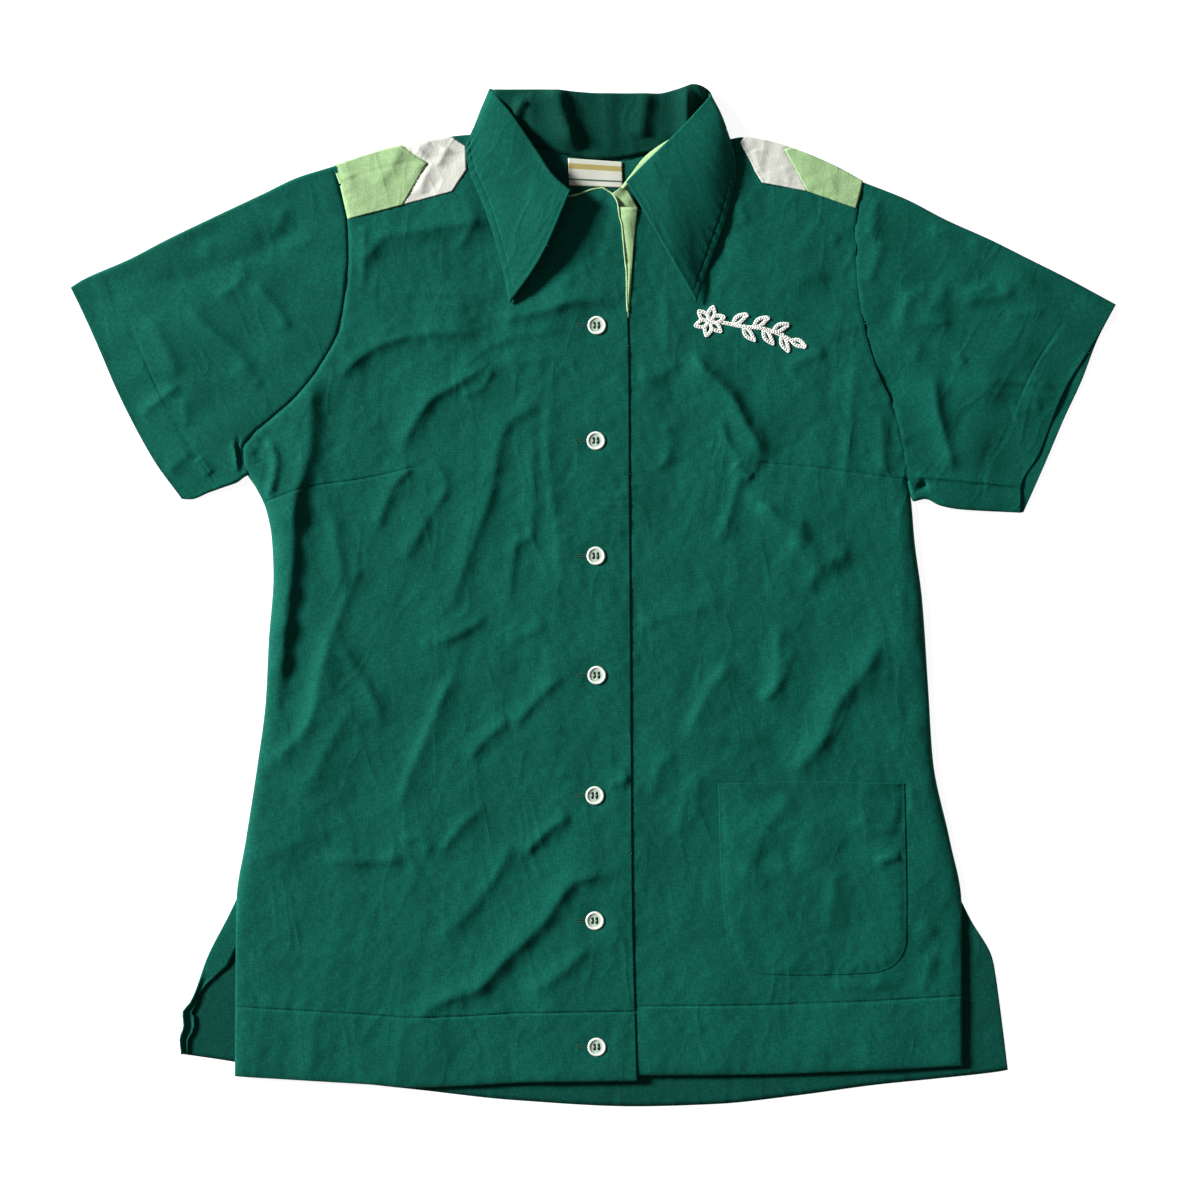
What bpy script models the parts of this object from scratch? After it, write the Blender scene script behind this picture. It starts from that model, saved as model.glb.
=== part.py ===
"""Short-sleeved bowling shirt, buttoned and laid flat on its back.

Each piece that is cut and sewn on is one closed solid. The frame is in metres: +Z is up off the
surface, +Y runs from hem to collar and +X towards the wearer's left sleeve. The origin is the middle
of the underside. Right and left are the wearer's, and the right front laps over the left one.

Panels are Coons patches between four edge curves. Where a panel turns over a fold, rows of points
are carried round a half circle. Sleeves are flattened tubes, and the collar is lofted through a
table of sections. A Solidify modifier gives each its wall.
"""

import math

import bmesh
import bpy
import numpy as np

# Driving dimensions
WALL = 0.0010  # thickness of one layer of cloth
GAP = 0.0003  # clearance between pieces that meet
LAYER = WALL + 2 * GAP  # rise from one layer to the next, measured between their middles
SEAM_STEP = 0.0008  # distance from a panel's edge line to that of the panel sewn to it
UNDER_Z = WALL / 2  # middle of a layer that lies on the surface
YOKE_Z = 0.0023  # middle of the back where it lies on the collar and the shoulder inserts
FRONT_Z = 0.0042  # middle of the fronts and of the sleeves' upper layers
SIDE_Z = 0.0019  # middle of the fronts where the side seams and hems come down onto the back
SIDE_ROUND = 0.009  # distance in from a side or hem over which a front rises to full height
LAP_START = -0.045  # the lap of the right front starts to rise here, and is full at LAP_FULL
LAP_FULL = -0.022
YOKE_START = 0.244  # the back starts to rise off the surface here, and is full at YOKE_FULL
YOKE_FULL = 0.262
VENT_Z = 0.0032  # middle of the back where its right vent is turned in over itself
BUTTON_RADIUS = 0.0060
BUTTON_HEIGHT = 0.0024
BUTTON_CALM = 0.011  # no fold reaches a button within about this distance
HOLE_RADIUS = 0.0008
HOLE_OFFSET = 0.0015
BUTTON_SIDES, HOLE_SIDES = 16, 6

# Colours as linear RGB, with roughness
DARK_GREEN = ((0.008, 0.117, 0.082, 1.0), 0.75)
LIGHT_GREEN = ((0.400, 0.600, 0.310, 1.0), 0.75)
WHITE = ((0.760, 0.770, 0.690, 1.0), 0.75)
PEARL = ((0.700, 0.820, 0.740, 1.0), 0.25)

# Edge curves as (x, y), each a few points on a smooth line
RIGHT_SIDE = [
    (-0.232, -0.312), (-0.231, -0.198), (-0.225, -0.159), (-0.217, -0.107), (-0.212, -0.068),
    (-0.210, -0.029), (-0.207, 0.013), (-0.208, 0.036), (-0.211, 0.052), (-0.218, 0.070),
]
RIGHT_ARMHOLE = [
    (-0.218, 0.070), (-0.223, 0.084), (-0.220, 0.102), (-0.206, 0.117), (-0.191, 0.130),
    (-0.176, 0.150), (-0.165, 0.171), (-0.160, 0.197), (-0.158, 0.221), (-0.159, 0.244),
    (-0.164, 0.266),
]
RIGHT_SHOULDER = [(-0.164, 0.266), (-0.147, 0.274), (-0.112, 0.283), (-0.077, 0.287)]
RIGHT_NECK = [(-0.077, 0.287), (-0.067, 0.277), (-0.047, 0.264), (-0.028, 0.258), (-0.010, 0.2595),
              (0.005, 0.2635)]
RIGHT_EDGE_LOW = [(0.029, -0.315), (0.026, -0.198), (0.025, -0.068), (0.024, 0.070)]
RIGHT_EDGE_HIGH = [(0.024, 0.070), (0.0232, 0.140), (0.0213, 0.186), (0.0202, 0.204),
                   (0.0172, 0.242), (0.0130, 0.2555), (0.005, 0.2635)]
RIGHT_HEM = [(-0.232, -0.312), (-0.148, -0.317), (-0.115, -0.319), (-0.081, -0.318),
             (-0.043, -0.316), (0.029, -0.315)]

LEFT_SIDE = [(0.240, -0.305), (0.2395, -0.199), (0.232, -0.159), (0.221, -0.107), (0.218, -0.061),
             (0.214, -0.003), (0.209, 0.036), (0.207, 0.060), (0.205, 0.074)]
LEFT_ARMHOLE = [(0.205, 0.074), (0.201, 0.101), (0.197, 0.118), (0.184, 0.148), (0.176, 0.178),
                (0.172, 0.211), (0.171, 0.238), (0.174, 0.260)]
LEFT_SHOULDER = [(0.174, 0.260), (0.145, 0.277), (0.119, 0.286), (0.091, 0.287)]
LEFT_NECK = [(0.091, 0.287), (0.080, 0.271), (0.063, 0.260), (0.044, 0.252), (0.028, 0.250),
             (0.005, 0.254), (-0.017, 0.254)]
LEFT_EDGE = [(-0.017, -0.311), (-0.017, 0.074), (-0.017, 0.254)]
LEFT_HEM = [(0.240, -0.305), (0.186, -0.308), (0.100, -0.311), (0.030, -0.3115), (-0.017, -0.311)]

BACK_HEM = [
    (-0.266, -0.298), (-0.233, -0.303), (-0.190, -0.311), (-0.151, -0.317), (-0.115, -0.321),
    (-0.050, -0.328), (0.028, -0.332), (0.080, -0.3305), (0.132, -0.325), (0.184, -0.318),
    (0.223, -0.314), (0.262, -0.3097), (0.270, -0.3083),
]
RIGHT_VENT = [(-0.267, -0.298), (-0.268, -0.288), (-0.266, -0.273), (-0.260, -0.258),
              (-0.250, -0.235), (-0.236, -0.208)]
LEFT_VENT = [(0.270, -0.3083), (0.266, -0.276), (0.2625, -0.250), (0.260, -0.236), (0.246, -0.211),
             (0.240, -0.199)]
RIGHT_FOLD = [(-0.1687, 0.2783), (-0.1475, 0.2852), (-0.1321, 0.2898), (-0.1144, 0.2932),
              (-0.0980, 0.2964), (-0.0885, 0.2981), (-0.0780, 0.2990)]
LEFT_FOLD = [(0.1756, 0.2682), (0.1571, 0.2784), (0.1312, 0.2893), (0.1114, 0.2952), (0.0967, 0.2972),
             (0.0888, 0.2958)]
BACK_NECK = [(-0.078, 0.2975), (-0.057, 0.293), (-0.037, 0.290), (-0.017, 0.284), (0.005, 0.282),
             (0.019, 0.282), (0.037, 0.286), (0.063, 0.2925), (0.0885, 0.2948)]

# Button centres, from the top one down
BUTTON_PLACES = [(0.0029, 0.1752), (0.0023, 0.1004), (0.0023, 0.0257), (0.0029, -0.0517),
                 (0.0016, -0.1297), (0.0016, -0.2109), (0.0029, -0.2928)]

# How far the back's right vent edge is turned in over itself: y, width
VENT_TURN = [(-0.298, 0.005), (-0.270, 0.006), (-0.255, 0.005), (-0.238, 0.015), (-0.208, 0.003)]

# Folds pressed into the fronts and the upper side of the sleeves: the two ends of the line (x1, y1
# to x2, y2), how far its middle bows to the left of its direction, half its width, and its height
# (above the cloth, or below it where negative).
RIGHT_FRONT_FOLDS = [
    (-0.186, 0.128, -0.200, 0.000, 0.004, 0.012, 0.0030),
    (-0.163, 0.136, -0.048, 0.178, 0.012, 0.013, -0.0018),
    (-0.127, 0.084, -0.090, 0.132, 0.000, 0.013, -0.0018),
    (-0.091, -0.008, -0.029, 0.149, 0.000, 0.013, -0.0018),
    (-0.203, -0.090, -0.163, -0.016, -0.010, 0.014, 0.0030),
    (-0.181, -0.127, -0.156, -0.062, 0.000, 0.013, -0.0016),
    (-0.131, -0.139, -0.091, -0.053, 0.000, 0.013, -0.0016),
    (-0.170, -0.174, -0.124, -0.174, 0.000, 0.013, -0.0016),
    (-0.108, -0.266, -0.008, -0.180, -0.006, 0.014, 0.0032),
    (-0.118, -0.220, -0.060, -0.150, -0.004, 0.013, -0.0016),
]
LEFT_FRONT_FOLDS = [
    (0.066, 0.162, 0.117, 0.085, 0.006, 0.013, -0.0020),
    (0.095, 0.066, 0.134, 0.034, 0.000, 0.013, 0.0024),
    (0.078, 0.030, 0.096, 0.082, 0.000, 0.013, 0.0018),
    (0.112, -0.108, 0.172, -0.034, 0.000, 0.014, 0.0026),
    (0.150, -0.100, 0.196, -0.023, 0.004, 0.012, -0.0018),
    (0.045, -0.128, 0.076, -0.070, 0.003, 0.012, 0.0022),
]
SLEEVE_FOLDS = [
    (-0.300, 0.180, -0.232, 0.104, 0.000, 0.012, 0.0018),
    (-0.262, 0.222, -0.205, 0.142, 0.004, 0.012, 0.0016),
    (0.190, 0.236, 0.204, 0.120, 0.004, 0.012, 0.0020),
    (0.232, 0.222, 0.262, 0.120, 0.000, 0.013, 0.0020),
]

# Flattened sleeves: edge curves as (x, y)
RIGHT_SLEEVE_FOLD = [(-0.169, 0.279), (-0.192, 0.271), (-0.213, 0.261), (-0.249, 0.244),
                     (-0.276, 0.231), (-0.301, 0.218), (-0.331, 0.205), (-0.339, 0.200)]
RIGHT_SLEEVE_UNDER = [(-0.222, 0.070), (-0.230, 0.074), (-0.245, 0.068), (-0.258, 0.063),
                      (-0.267, 0.063)]
RIGHT_CUFF = [(-0.267, 0.063), (-0.285, 0.088), (-0.306, 0.127), (-0.323, 0.166), (-0.335, 0.192),
              (-0.339, 0.200)]
LEFT_SLEEVE_FOLD = [(0.176, 0.269), (0.192, 0.262), (0.204, 0.257), (0.229, 0.244), (0.258, 0.231),
                    (0.284, 0.218), (0.310, 0.205), (0.340, 0.189)]
LEFT_SLEEVE_UNDER = [(0.209, 0.062), (0.2088, 0.0612), (0.2165, 0.0628), (0.2260, 0.0585), (0.241, 0.056),
                     (0.280, 0.054)]
LEFT_CUFF_UPPER = [(0.278, 0.054), (0.278, 0.069), (0.290, 0.092), (0.306, 0.132), (0.327, 0.166),
                   (0.340, 0.189)]
LEFT_CUFF_LOWER = [(0.280, 0.054), (0.295, 0.088), (0.306, 0.114), (0.318, 0.140), (0.328, 0.166),
                   (0.340, 0.189)]

# Collar sections from the right front end, round the back of the neck, to the left front end. Each
# has the neck seam, the roll and the outer edge as x, y, z. TURN is 0 where the fall lies on top,
# 1 at the fold beside the neck and 2 where the fall lies underneath.
COLLAR_SECTIONS = [
    # neck seam               roll                      outer edge               turn
    (-0.0125, 0.2612, 0.0060, -0.0140, 0.2610, 0.0140, -0.0535, 0.1895, 0.0064, 0.0),
    (-0.0295, 0.2593, 0.0050, -0.0250, 0.2710, 0.0125, -0.0600, 0.2200, 0.0062, 0.0),
    (-0.0465, 0.2650, 0.0044, -0.0370, 0.2890, 0.0105, -0.0700, 0.2510, 0.0062, 0.0),
    (-0.0662, 0.2779, 0.0044, -0.0520, 0.3110, 0.0090, -0.0795, 0.2740, 0.0064, 0.0),
    (-0.0752, 0.2885, 0.0044, -0.0610, 0.3220, 0.0068, -0.0822, 0.2880, 0.0068, 0.1),
    (-0.0740, 0.2975, 0.0042, -0.0640, 0.3262, 0.0052, -0.0800, 0.2970, 0.0064, 0.5),
    (-0.0730, 0.3005, 0.0034, -0.0658, 0.3284, 0.0036, -0.0765, 0.3035, 0.0034, 1.0),
    (-0.0735, 0.2988, 0.0026, -0.0640, 0.3278, 0.0025, -0.0775, 0.2975, 0.0009, 1.6),
    (-0.0700, 0.2972, 0.0023, -0.0560, 0.3275, 0.0023, -0.0720, 0.2880, 0.0005, 2.0),
    (-0.0370, 0.2910, 0.0023, -0.0330, 0.3275, 0.0026, -0.0380, 0.2830, 0.0005, 2.0),
    (0.0060, 0.2830, 0.0023, 0.0060, 0.3250, 0.0028, 0.0060, 0.2780, 0.0005, 2.0),
    (0.0440, 0.2889, 0.0023, 0.0420, 0.3248, 0.0026, 0.0470, 0.2820, 0.0005, 2.0),
    (0.0620, 0.2945, 0.0023, 0.0530, 0.3270, 0.0026, 0.0640, 0.2850, 0.0005, 2.0),
    (0.0800, 0.2972, 0.0023, 0.0640, 0.3310, 0.0024, 0.0820, 0.2880, 0.0005, 2.0),
    (0.0825, 0.2978, 0.0026, 0.0710, 0.3300, 0.0025, 0.0865, 0.2960, 0.0009, 1.6),
    (0.0828, 0.2990, 0.0034, 0.0755, 0.3262, 0.0036, 0.0855, 0.3020, 0.0034, 1.0),
    (0.0840, 0.2960, 0.0042, 0.0760, 0.3236, 0.0054, 0.0880, 0.2965, 0.0066, 0.5),
    (0.0860, 0.2880, 0.0044, 0.0735, 0.3200, 0.0072, 0.0918, 0.2860, 0.0070, 0.1),
    (0.0791, 0.2719, 0.0044, 0.0640, 0.3090, 0.0092, 0.0930, 0.2720, 0.0074, 0.0),
    (0.0625, 0.2610, 0.0044, 0.0495, 0.2940, 0.0100, 0.0870, 0.2460, 0.0078, 0.0),
    (0.0437, 0.2531, 0.0044, 0.0350, 0.2800, 0.0100, 0.0780, 0.2200, 0.0070, 0.0),
    (0.0320, 0.2525, 0.0050, 0.0220, 0.2670, 0.0105, 0.0670, 0.1900, 0.0066, 0.0),
]
RIGHT_OUTWARD = (-0.93, 0.37)  # direction out of the fold beside the neck, in plan
LEFT_OUTWARD = (0.94, 0.34)
ROLL_RADIUS = 0.0009
FALL_CROWN = 0.0014  # how far the fall bulges up halfway down
COLLAR_STEPS = 2  # sections lofted from each row of the table to the next
STAND_ROWS, ROLL_ROWS, FALL_ROWS = 3, 4, 6  # rows of the stand, round the roll and of the fall

# Contrast facings where they show. The right one is a rim along the top of the right front's edge,
# and the left one is given by its middle line (x, y, z) and its width.
FACING_RIM = 0.0013
LEFT_FACING = [
    (0.0252, 0.1880, 0.0058, 0.0008), (0.0254, 0.2000, 0.0058, 0.0024),
    (0.0251, 0.2250, 0.0058, 0.0060), (0.0249, 0.2440, 0.0058, 0.0092),
    (0.0246, 0.2500, 0.0058, 0.0094), (0.0193, 0.2580, 0.0058, 0.0034),
    (0.0186, 0.2650, 0.0060, 0.0034), (0.0250, 0.2735, 0.0064, 0.0044),
    (0.0340, 0.2825, 0.0068, 0.0044), (0.0430, 0.2910, 0.0066, 0.0034),
    (0.0500, 0.2970, 0.0062, 0.0012),
]

# Shoulder inserts: name, look, side, and the corners of the edge towards the arm and of the one
# towards the neck, each with the steps to the next. The last corner is on the shoulder's fold, and
# from there the piece turns under the back.
INSERTS = [
    ("insert_green_right", "light", "right",
     [(-0.1588, 0.2441, 4), (-0.1637, 0.2660, 3), (-0.1685, 0.2790, 0)],
     [(-0.1234, 0.2535, 4), (-0.1070, 0.2800, 3), (-0.1238, 0.2916, 0)]),
    ("insert_white_right", "white", "right",
     [(-0.1228, 0.2532, 4), (-0.1061, 0.2803, 3), (-0.1230, 0.2918, 0)],
     [(-0.0905, 0.2617, 2), (-0.0845, 0.2730, 2), (-0.0850, 0.2890, 3), (-0.0925, 0.2978, 0)]),
    ("insert_green_left", "light", "left",
     [(0.1709, 0.2512, 4), (0.1735, 0.2600, 3), (0.1755, 0.2695, 0)],
     [(0.1399, 0.2622, 4), (0.1256, 0.2880, 3), (0.1297, 0.2900, 0)]),
    ("insert_white_left", "white", "left",
     [(0.1391, 0.2620, 4), (0.1246, 0.2883, 3), (0.1288, 0.2903, 0)],
     [(0.1097, 0.2681, 2), (0.1022, 0.2833, 2), (0.0972, 0.2930, 3), (0.0985, 0.2970, 0)]),
]
INSERT_TURN = 0.0095  # how much of an insert lies beyond the fold, before it is turned under
INSERT_TURN_ROWS = 9
INSERT_COLUMNS = 7

# Pocket on the left front, as edge curves
POCKET_SIDES = [
    [(0.0925, -0.2355), (0.0885, -0.2265), (0.0861, -0.2129), (0.0829, -0.1719), (0.0816, -0.1219)],
    [(0.2005, -0.2340), (0.2035, -0.2250), (0.2038, -0.1940), (0.2025, -0.1219)],
]
POCKET_BOTTOM = [(0.0925, -0.2355), (0.0990, -0.2415), (0.1115, -0.2454), (0.1381, -0.2462),
                 (0.1823, -0.2447), (0.1945, -0.2405), (0.2005, -0.2340)]
POCKET_TOP = [(0.0816, -0.1219), (0.1420, -0.1205), (0.2025, -0.1219)]
POCKET_ROWS, POCKET_COLUMNS = 9, 9

# Neck label, by its corners: lower right, lower left, upper right and upper left as worn
LABEL_CORNERS = [(-0.0152, 0.2662), (0.0198, 0.2647), (-0.0159, 0.2839), (0.0194, 0.2814)]


def through(points, steps):
    """Smooth curve through `points`, with `steps` steps from each one to the next.

    It never overshoots them: its slope is the harmonic mean of those beside it, or 0 at a turn.
    """
    given = np.array(points, float)
    at = np.concatenate([[0.0], np.cumsum(np.linalg.norm(np.diff(given, axis=0), axis=1))])
    rate = np.diff(given, axis=0) / np.diff(at)[:, None]
    before, after = rate[:-1], rate[1:]
    turning = before * after <= 0
    mean = 2 * before * after / np.where(turning, 1.0, before + after)
    slope = np.concatenate([rate[:1], np.where(turning, 0.0, mean), rate[-1:]])
    place = np.arange((len(given) - 1) * steps + 1) / steps
    left = np.minimum(place.astype(int), len(given) - 2)
    span = (at[left + 1] - at[left])[:, None]
    t = (place - left)[:, None]
    return (
        (2 * t**3 - 3 * t**2 + 1) * given[left]
        + (t**3 - 2 * t**2 + t) * span * slope[left]
        + (3 * t**2 - 2 * t**3) * given[left + 1]
        + (t**3 - t**2) * span * slope[left + 1]
    )


def smooth(points, count):
    """`count` points, evenly spaced by length, on a smooth curve through `points`."""
    curve = through(points, 40)
    run = np.concatenate([[0.0], np.cumsum(np.linalg.norm(np.diff(curve, axis=0), axis=1))])
    even = np.linspace(0.0, run[-1], count)
    return np.stack([np.interp(even, run, column) for column in curve.T], axis=1)


def chain(*curves):
    """Curves that follow each other as one, with each shared end kept once."""
    return np.concatenate([curves[0]] + [curve[1:] for curve in curves[1:]])


def coons(bottom, top, left, right):
    """Grid of points between four edge curves, as rows from bottom to top."""
    u = np.linspace(0.0, 1.0, len(bottom))[None, :, None]
    v = np.linspace(0.0, 1.0, len(left))[:, None, None]
    across = (1 - v) * bottom[None] + v * top[None]
    along = (1 - u) * left[:, None] + u * right[:, None]
    corners = (1 - v) * ((1 - u) * bottom[0] + u * bottom[-1]) + v * ((1 - u) * top[0] + u * top[-1])
    return across + along - corners


def ease(value, start, full):
    """0 up to `start` and 1 from `full` on, with a soft S between."""
    t = np.clip((value - start) / (full - start), 0.0, 1.0)
    return t * t * (3 - 2 * t)


def distance_to(points, line):
    """Distance in plan from each point to a line of points."""
    start, end = line[:-1, :2], line[1:, :2]
    run = end - start
    offset = points[..., None, :2] - start
    t = np.clip((offset * run).sum(-1) / (run * run).sum(-1), 0.0, 1.0)
    return np.linalg.norm(offset - t[..., None] * run, axis=-1).min(axis=-1)


def rounded(distance, radius):
    """Height of a quarter circle, as a share of its radius, at a distance in from its foot."""
    return np.sqrt(1 - (1 - np.clip(distance / radius, 0.0, 1.0)) ** 2)


def with_z(plan, z):
    return np.concatenate([plan[..., :2], np.broadcast_to(z, plan.shape[:-1])[..., None]], axis=-1)


def folds(plan, table):
    """Height of all folds in a table at each point. A fold fades to its ends and to its sides."""
    x, y = plan[..., 0], plan[..., 1]
    total = np.zeros(x.shape)
    for x1, y1, x2, y2, bow, width, height in table:
        run_x, run_y = x2 - x1, y2 - y1
        length = math.hypot(run_x, run_y)
        along = ((x - x1) * run_x + (y - y1) * run_y) / length**2
        aside = ((y - y1) * run_x - (x - x1) * run_y) / length - 4 * bow * along * (1 - along)
        total += height * np.exp(-1.6 * (2 * along - 1) ** 4 - (aside / width) ** 2)
    return total


def front_height(plan, side_line, hem_line, table):
    """Middle of a front: low along its side and hem, level elsewhere, with the folds on top."""
    rise = rounded(distance_to(plan, side_line), SIDE_ROUND)
    rise = rise * rounded(distance_to(plan, hem_line), SIDE_ROUND)
    calm = np.ones(plan.shape[:-1])
    for x, y in BUTTON_PLACES:
        near = ((plan[..., 0] - x) ** 2 + (plan[..., 1] - y) ** 2) / BUTTON_CALM**2
        calm = calm * (1 - np.exp(-near))
    return SIDE_Z + rise * (FRONT_Z - SIDE_Z + calm * folds(plan, table))


def material(name, look):
    colour, roughness = look
    made = bpy.data.materials.get(name) or bpy.data.materials.new(name)
    made.use_nodes = True
    shader = made.node_tree.nodes["Principled BSDF"]
    shader.inputs["Base Color"].default_value = colour
    shader.inputs["Roughness"].default_value = roughness
    shader.inputs["Metallic"].default_value = 0.0
    return made


def cloth(name, grids, look, closed=False):
    """One piece of cloth from grids of points that share edges, given its wall by Solidify."""
    mesh = bmesh.new()
    for grid in grids:
        rows, columns = grid.shape[:2]
        corners = [[mesh.verts.new(point) for point in row] for row in grid]
        for i in range(rows - 1):
            for j in range(columns if closed else columns - 1):
                after = (j + 1) % columns
                mesh.faces.new(
                    (corners[i][j], corners[i][after], corners[i + 1][after], corners[i + 1][j])
                )
    bmesh.ops.remove_doubles(mesh, verts=mesh.verts, dist=1e-6)
    bmesh.ops.recalc_face_normals(mesh, faces=mesh.faces)
    data = bpy.data.meshes.new(name)
    mesh.to_mesh(data)
    mesh.free()
    piece = bpy.data.objects.new(name, data)
    bpy.context.scene.collection.objects.link(piece)
    data.materials.append(material(name, look))
    data.shade_smooth()
    wall = piece.modifiers.new("Wall", "SOLIDIFY")
    wall.thickness = WALL
    wall.offset = 0.0
    return piece


def turned_over(line, inward, z_low, z_high, end):
    """Rows carried from a lower layer round the fold at `line`, and level on to the line `end`."""
    radius = (z_high - z_low) / 2
    angles = np.linspace(0.0, math.pi, 6)[:, None, None]
    arc = line + inward * (radius - radius * np.sin(angles))
    arc_z = z_low + radius - radius * np.cos(angles[..., 0])
    flat = np.stack([(arc[-1] + end) / 2, end])
    return np.concatenate([with_z(arc, arc_z), with_z(flat, z_high)])


def inward_of(line, towards):
    """Unit normals of a line in plan, on the side that `towards` lies."""
    run = np.gradient(line, axis=0)
    normal = np.stack([-run[:, 1], run[:, 0]], axis=1)
    normal /= np.linalg.norm(normal, axis=1)[:, None]
    return normal * np.sign(((np.array(towards) - line) * normal).sum(axis=1))[:, None]


# Rows and columns of the grids. A panel's rows run up its hem part, its side and its armhole, and its
# columns run along its shoulder and its neckline.
HEM_ROWS, SIDE_ROWS, ARM_ROWS = 6, 11, 13
SHOULDER_COLUMNS, NECK_COLUMNS = 9, 12
SLEEVE_COLUMNS = 9
RIM_ROWS = 7  # rows of the right front's upper edge that the facing's rim leaves out
RIM_COLUMNS = 3  # columns of its neckline that the rim runs on along
SLEEVE_ROUND_SHARES = (0.002, 0.008)  # extra rows that round a sleeve's two folds

for old in list(bpy.data.objects):
    bpy.data.objects.remove(old, do_unlink=True)

# Each armhole runs from the underarm to the shoulder seam, and on to the shoulder's fold
right_armhole = chain(smooth(RIGHT_ARMHOLE, ARM_ROWS), np.array([RIGHT_ARMHOLE[-1], RIGHT_FOLD[0]]))
left_armhole = chain(smooth(LEFT_ARMHOLE, ARM_ROWS), np.array([LEFT_ARMHOLE[-1], LEFT_FOLD[0]]))
right_side = smooth(RIGHT_SIDE, HEM_ROWS + SIDE_ROWS)
left_side = smooth(LEFT_SIDE, HEM_ROWS + SIDE_ROWS)
right_hem = smooth(RIGHT_HEM, SHOULDER_COLUMNS + NECK_COLUMNS - 1)
left_hem = smooth(LEFT_HEM, SHOULDER_COLUMNS + NECK_COLUMNS - 1)
shoulder_radius = (FRONT_Z - YOKE_Z) / 2
folds_in_plan = {
    "right": smooth(RIGHT_FOLD, SHOULDER_COLUMNS),
    "left": smooth(LEFT_FOLD, SHOULDER_COLUMNS),
}


def front(name, side, armhole, shoulder, neck, edge_low, edge_high, hem, table, lap):
    """One front, between its side and armhole, shoulder and neckline, front edge, and hem."""
    plan = coons(
        hem,
        chain(smooth(shoulder, SHOULDER_COLUMNS), smooth(neck, NECK_COLUMNS)),
        chain(side, armhole[:ARM_ROWS]),
        chain(smooth(edge_low, HEM_ROWS + SIDE_ROWS), smooth(edge_high, ARM_ROWS)),
    )
    height = front_height(plan, side, hem, table)
    height += lap * ease(plan[..., 0], LAP_START, LAP_FULL)
    cloth(name, [with_z(plan, height)], DARK_GREEN)


def back():
    """One back, with its shoulders and right vent turned over onto the upper side."""
    strips = []
    tops = {}
    for side, seam in (("right", RIGHT_SHOULDER), ("left", LEFT_SHOULDER)):
        line = folds_in_plan[side]
        inward = inward_of(line, (0.0, 0.0))
        tops[side] = line + inward * shoulder_radius
        end = smooth(seam, SHOULDER_COLUMNS) - 2 * GAP * inward
        strips.append(turned_over(line, inward, YOKE_Z, FRONT_Z, end))
    vent = smooth(RIGHT_VENT, HEM_ROWS)
    inward = inward_of(vent, (0.0, -0.250))
    vent_radius = (VENT_Z - UNDER_Z) / 2
    vent_foot = vent + inward * vent_radius
    heights, widths = np.array(VENT_TURN).T
    width = np.interp(vent[:, 1], heights, widths)[:, None]
    strips.append(turned_over(vent, inward, UNDER_Z, VENT_Z, vent_foot + inward * width))
    plan = coons(
        smooth([vent_foot[0], *BACK_HEM[1:]], 2 * SHOULDER_COLUMNS + NECK_COLUMNS - 2),
        chain(tops["right"], smooth(BACK_NECK, NECK_COLUMNS), tops["left"][::-1]),
        chain(
            vent_foot,
            smooth([vent_foot[-1], *RIGHT_SIDE[2:]], SIDE_ROWS),
            chain(right_armhole[:ARM_ROWS], np.array([right_armhole[-2], tops["right"][0]])),
        ),
        chain(
            smooth(LEFT_VENT, HEM_ROWS),
            smooth([LEFT_VENT[-1], *LEFT_SIDE[2:]], SIDE_ROWS),
            chain(left_armhole[:ARM_ROWS], np.array([left_armhole[-2], tops["left"][0]])),
        ),
    )
    rise = (YOKE_Z - UNDER_Z) * ease(plan[..., 1], YOKE_START, YOKE_FULL)
    cloth("back", [with_z(plan, UNDER_Z + rise), *strips], DARK_GREEN)


def sleeve(name, armhole, fold, under, cuff_upper, cuff_lower):
    """A flattened tube from its armhole to its cuff, round at the fold and at the underarm."""
    rows = set(np.linspace(0.0, 1.0, len(armhole)))
    rows |= set(SLEEVE_ROUND_SHARES) | {1 - share for share in SLEEVE_ROUND_SHARES}
    rows = np.array(sorted(rows))
    at = np.linspace(0.0, 1.0, len(armhole))
    armhole_rows = np.stack([np.interp(rows, at, column) for column in armhole.T], axis=1)
    start = armhole_rows - SEAM_STEP * inward_of(armhole_rows, (0.0, 0.1))
    low = smooth([start[0], *under[1:]], SLEEVE_COLUMNS)
    high = smooth([start[-1], *fold[1:]], SLEEVE_COLUMNS)
    middle, radius = (UNDER_Z + FRONT_Z) / 2, (FRONT_Z - UNDER_Z) / 2
    layers = []
    for cuff, up in ((cuff_upper, 1.0), (cuff_lower, -1.0)):
        even = smooth(cuff, len(armhole))
        end = np.stack([np.interp(rows, at, column) for column in even.T], axis=1)
        plan = coons(low, high, start, end)
        inside = np.minimum(distance_to(plan, low), distance_to(plan, high))
        round_share = rounded(inside, radius)
        height = middle + up * radius * round_share
        if up > 0:
            height = height + round_share * folds(plan, SLEEVE_FOLDS)
        layers.append(with_z(plan, height))
    ring = np.concatenate([layers[0], layers[1][-2:0:-1]])
    cloth(name, [ring.transpose(1, 0, 2)], DARK_GREEN, closed=True)


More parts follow.
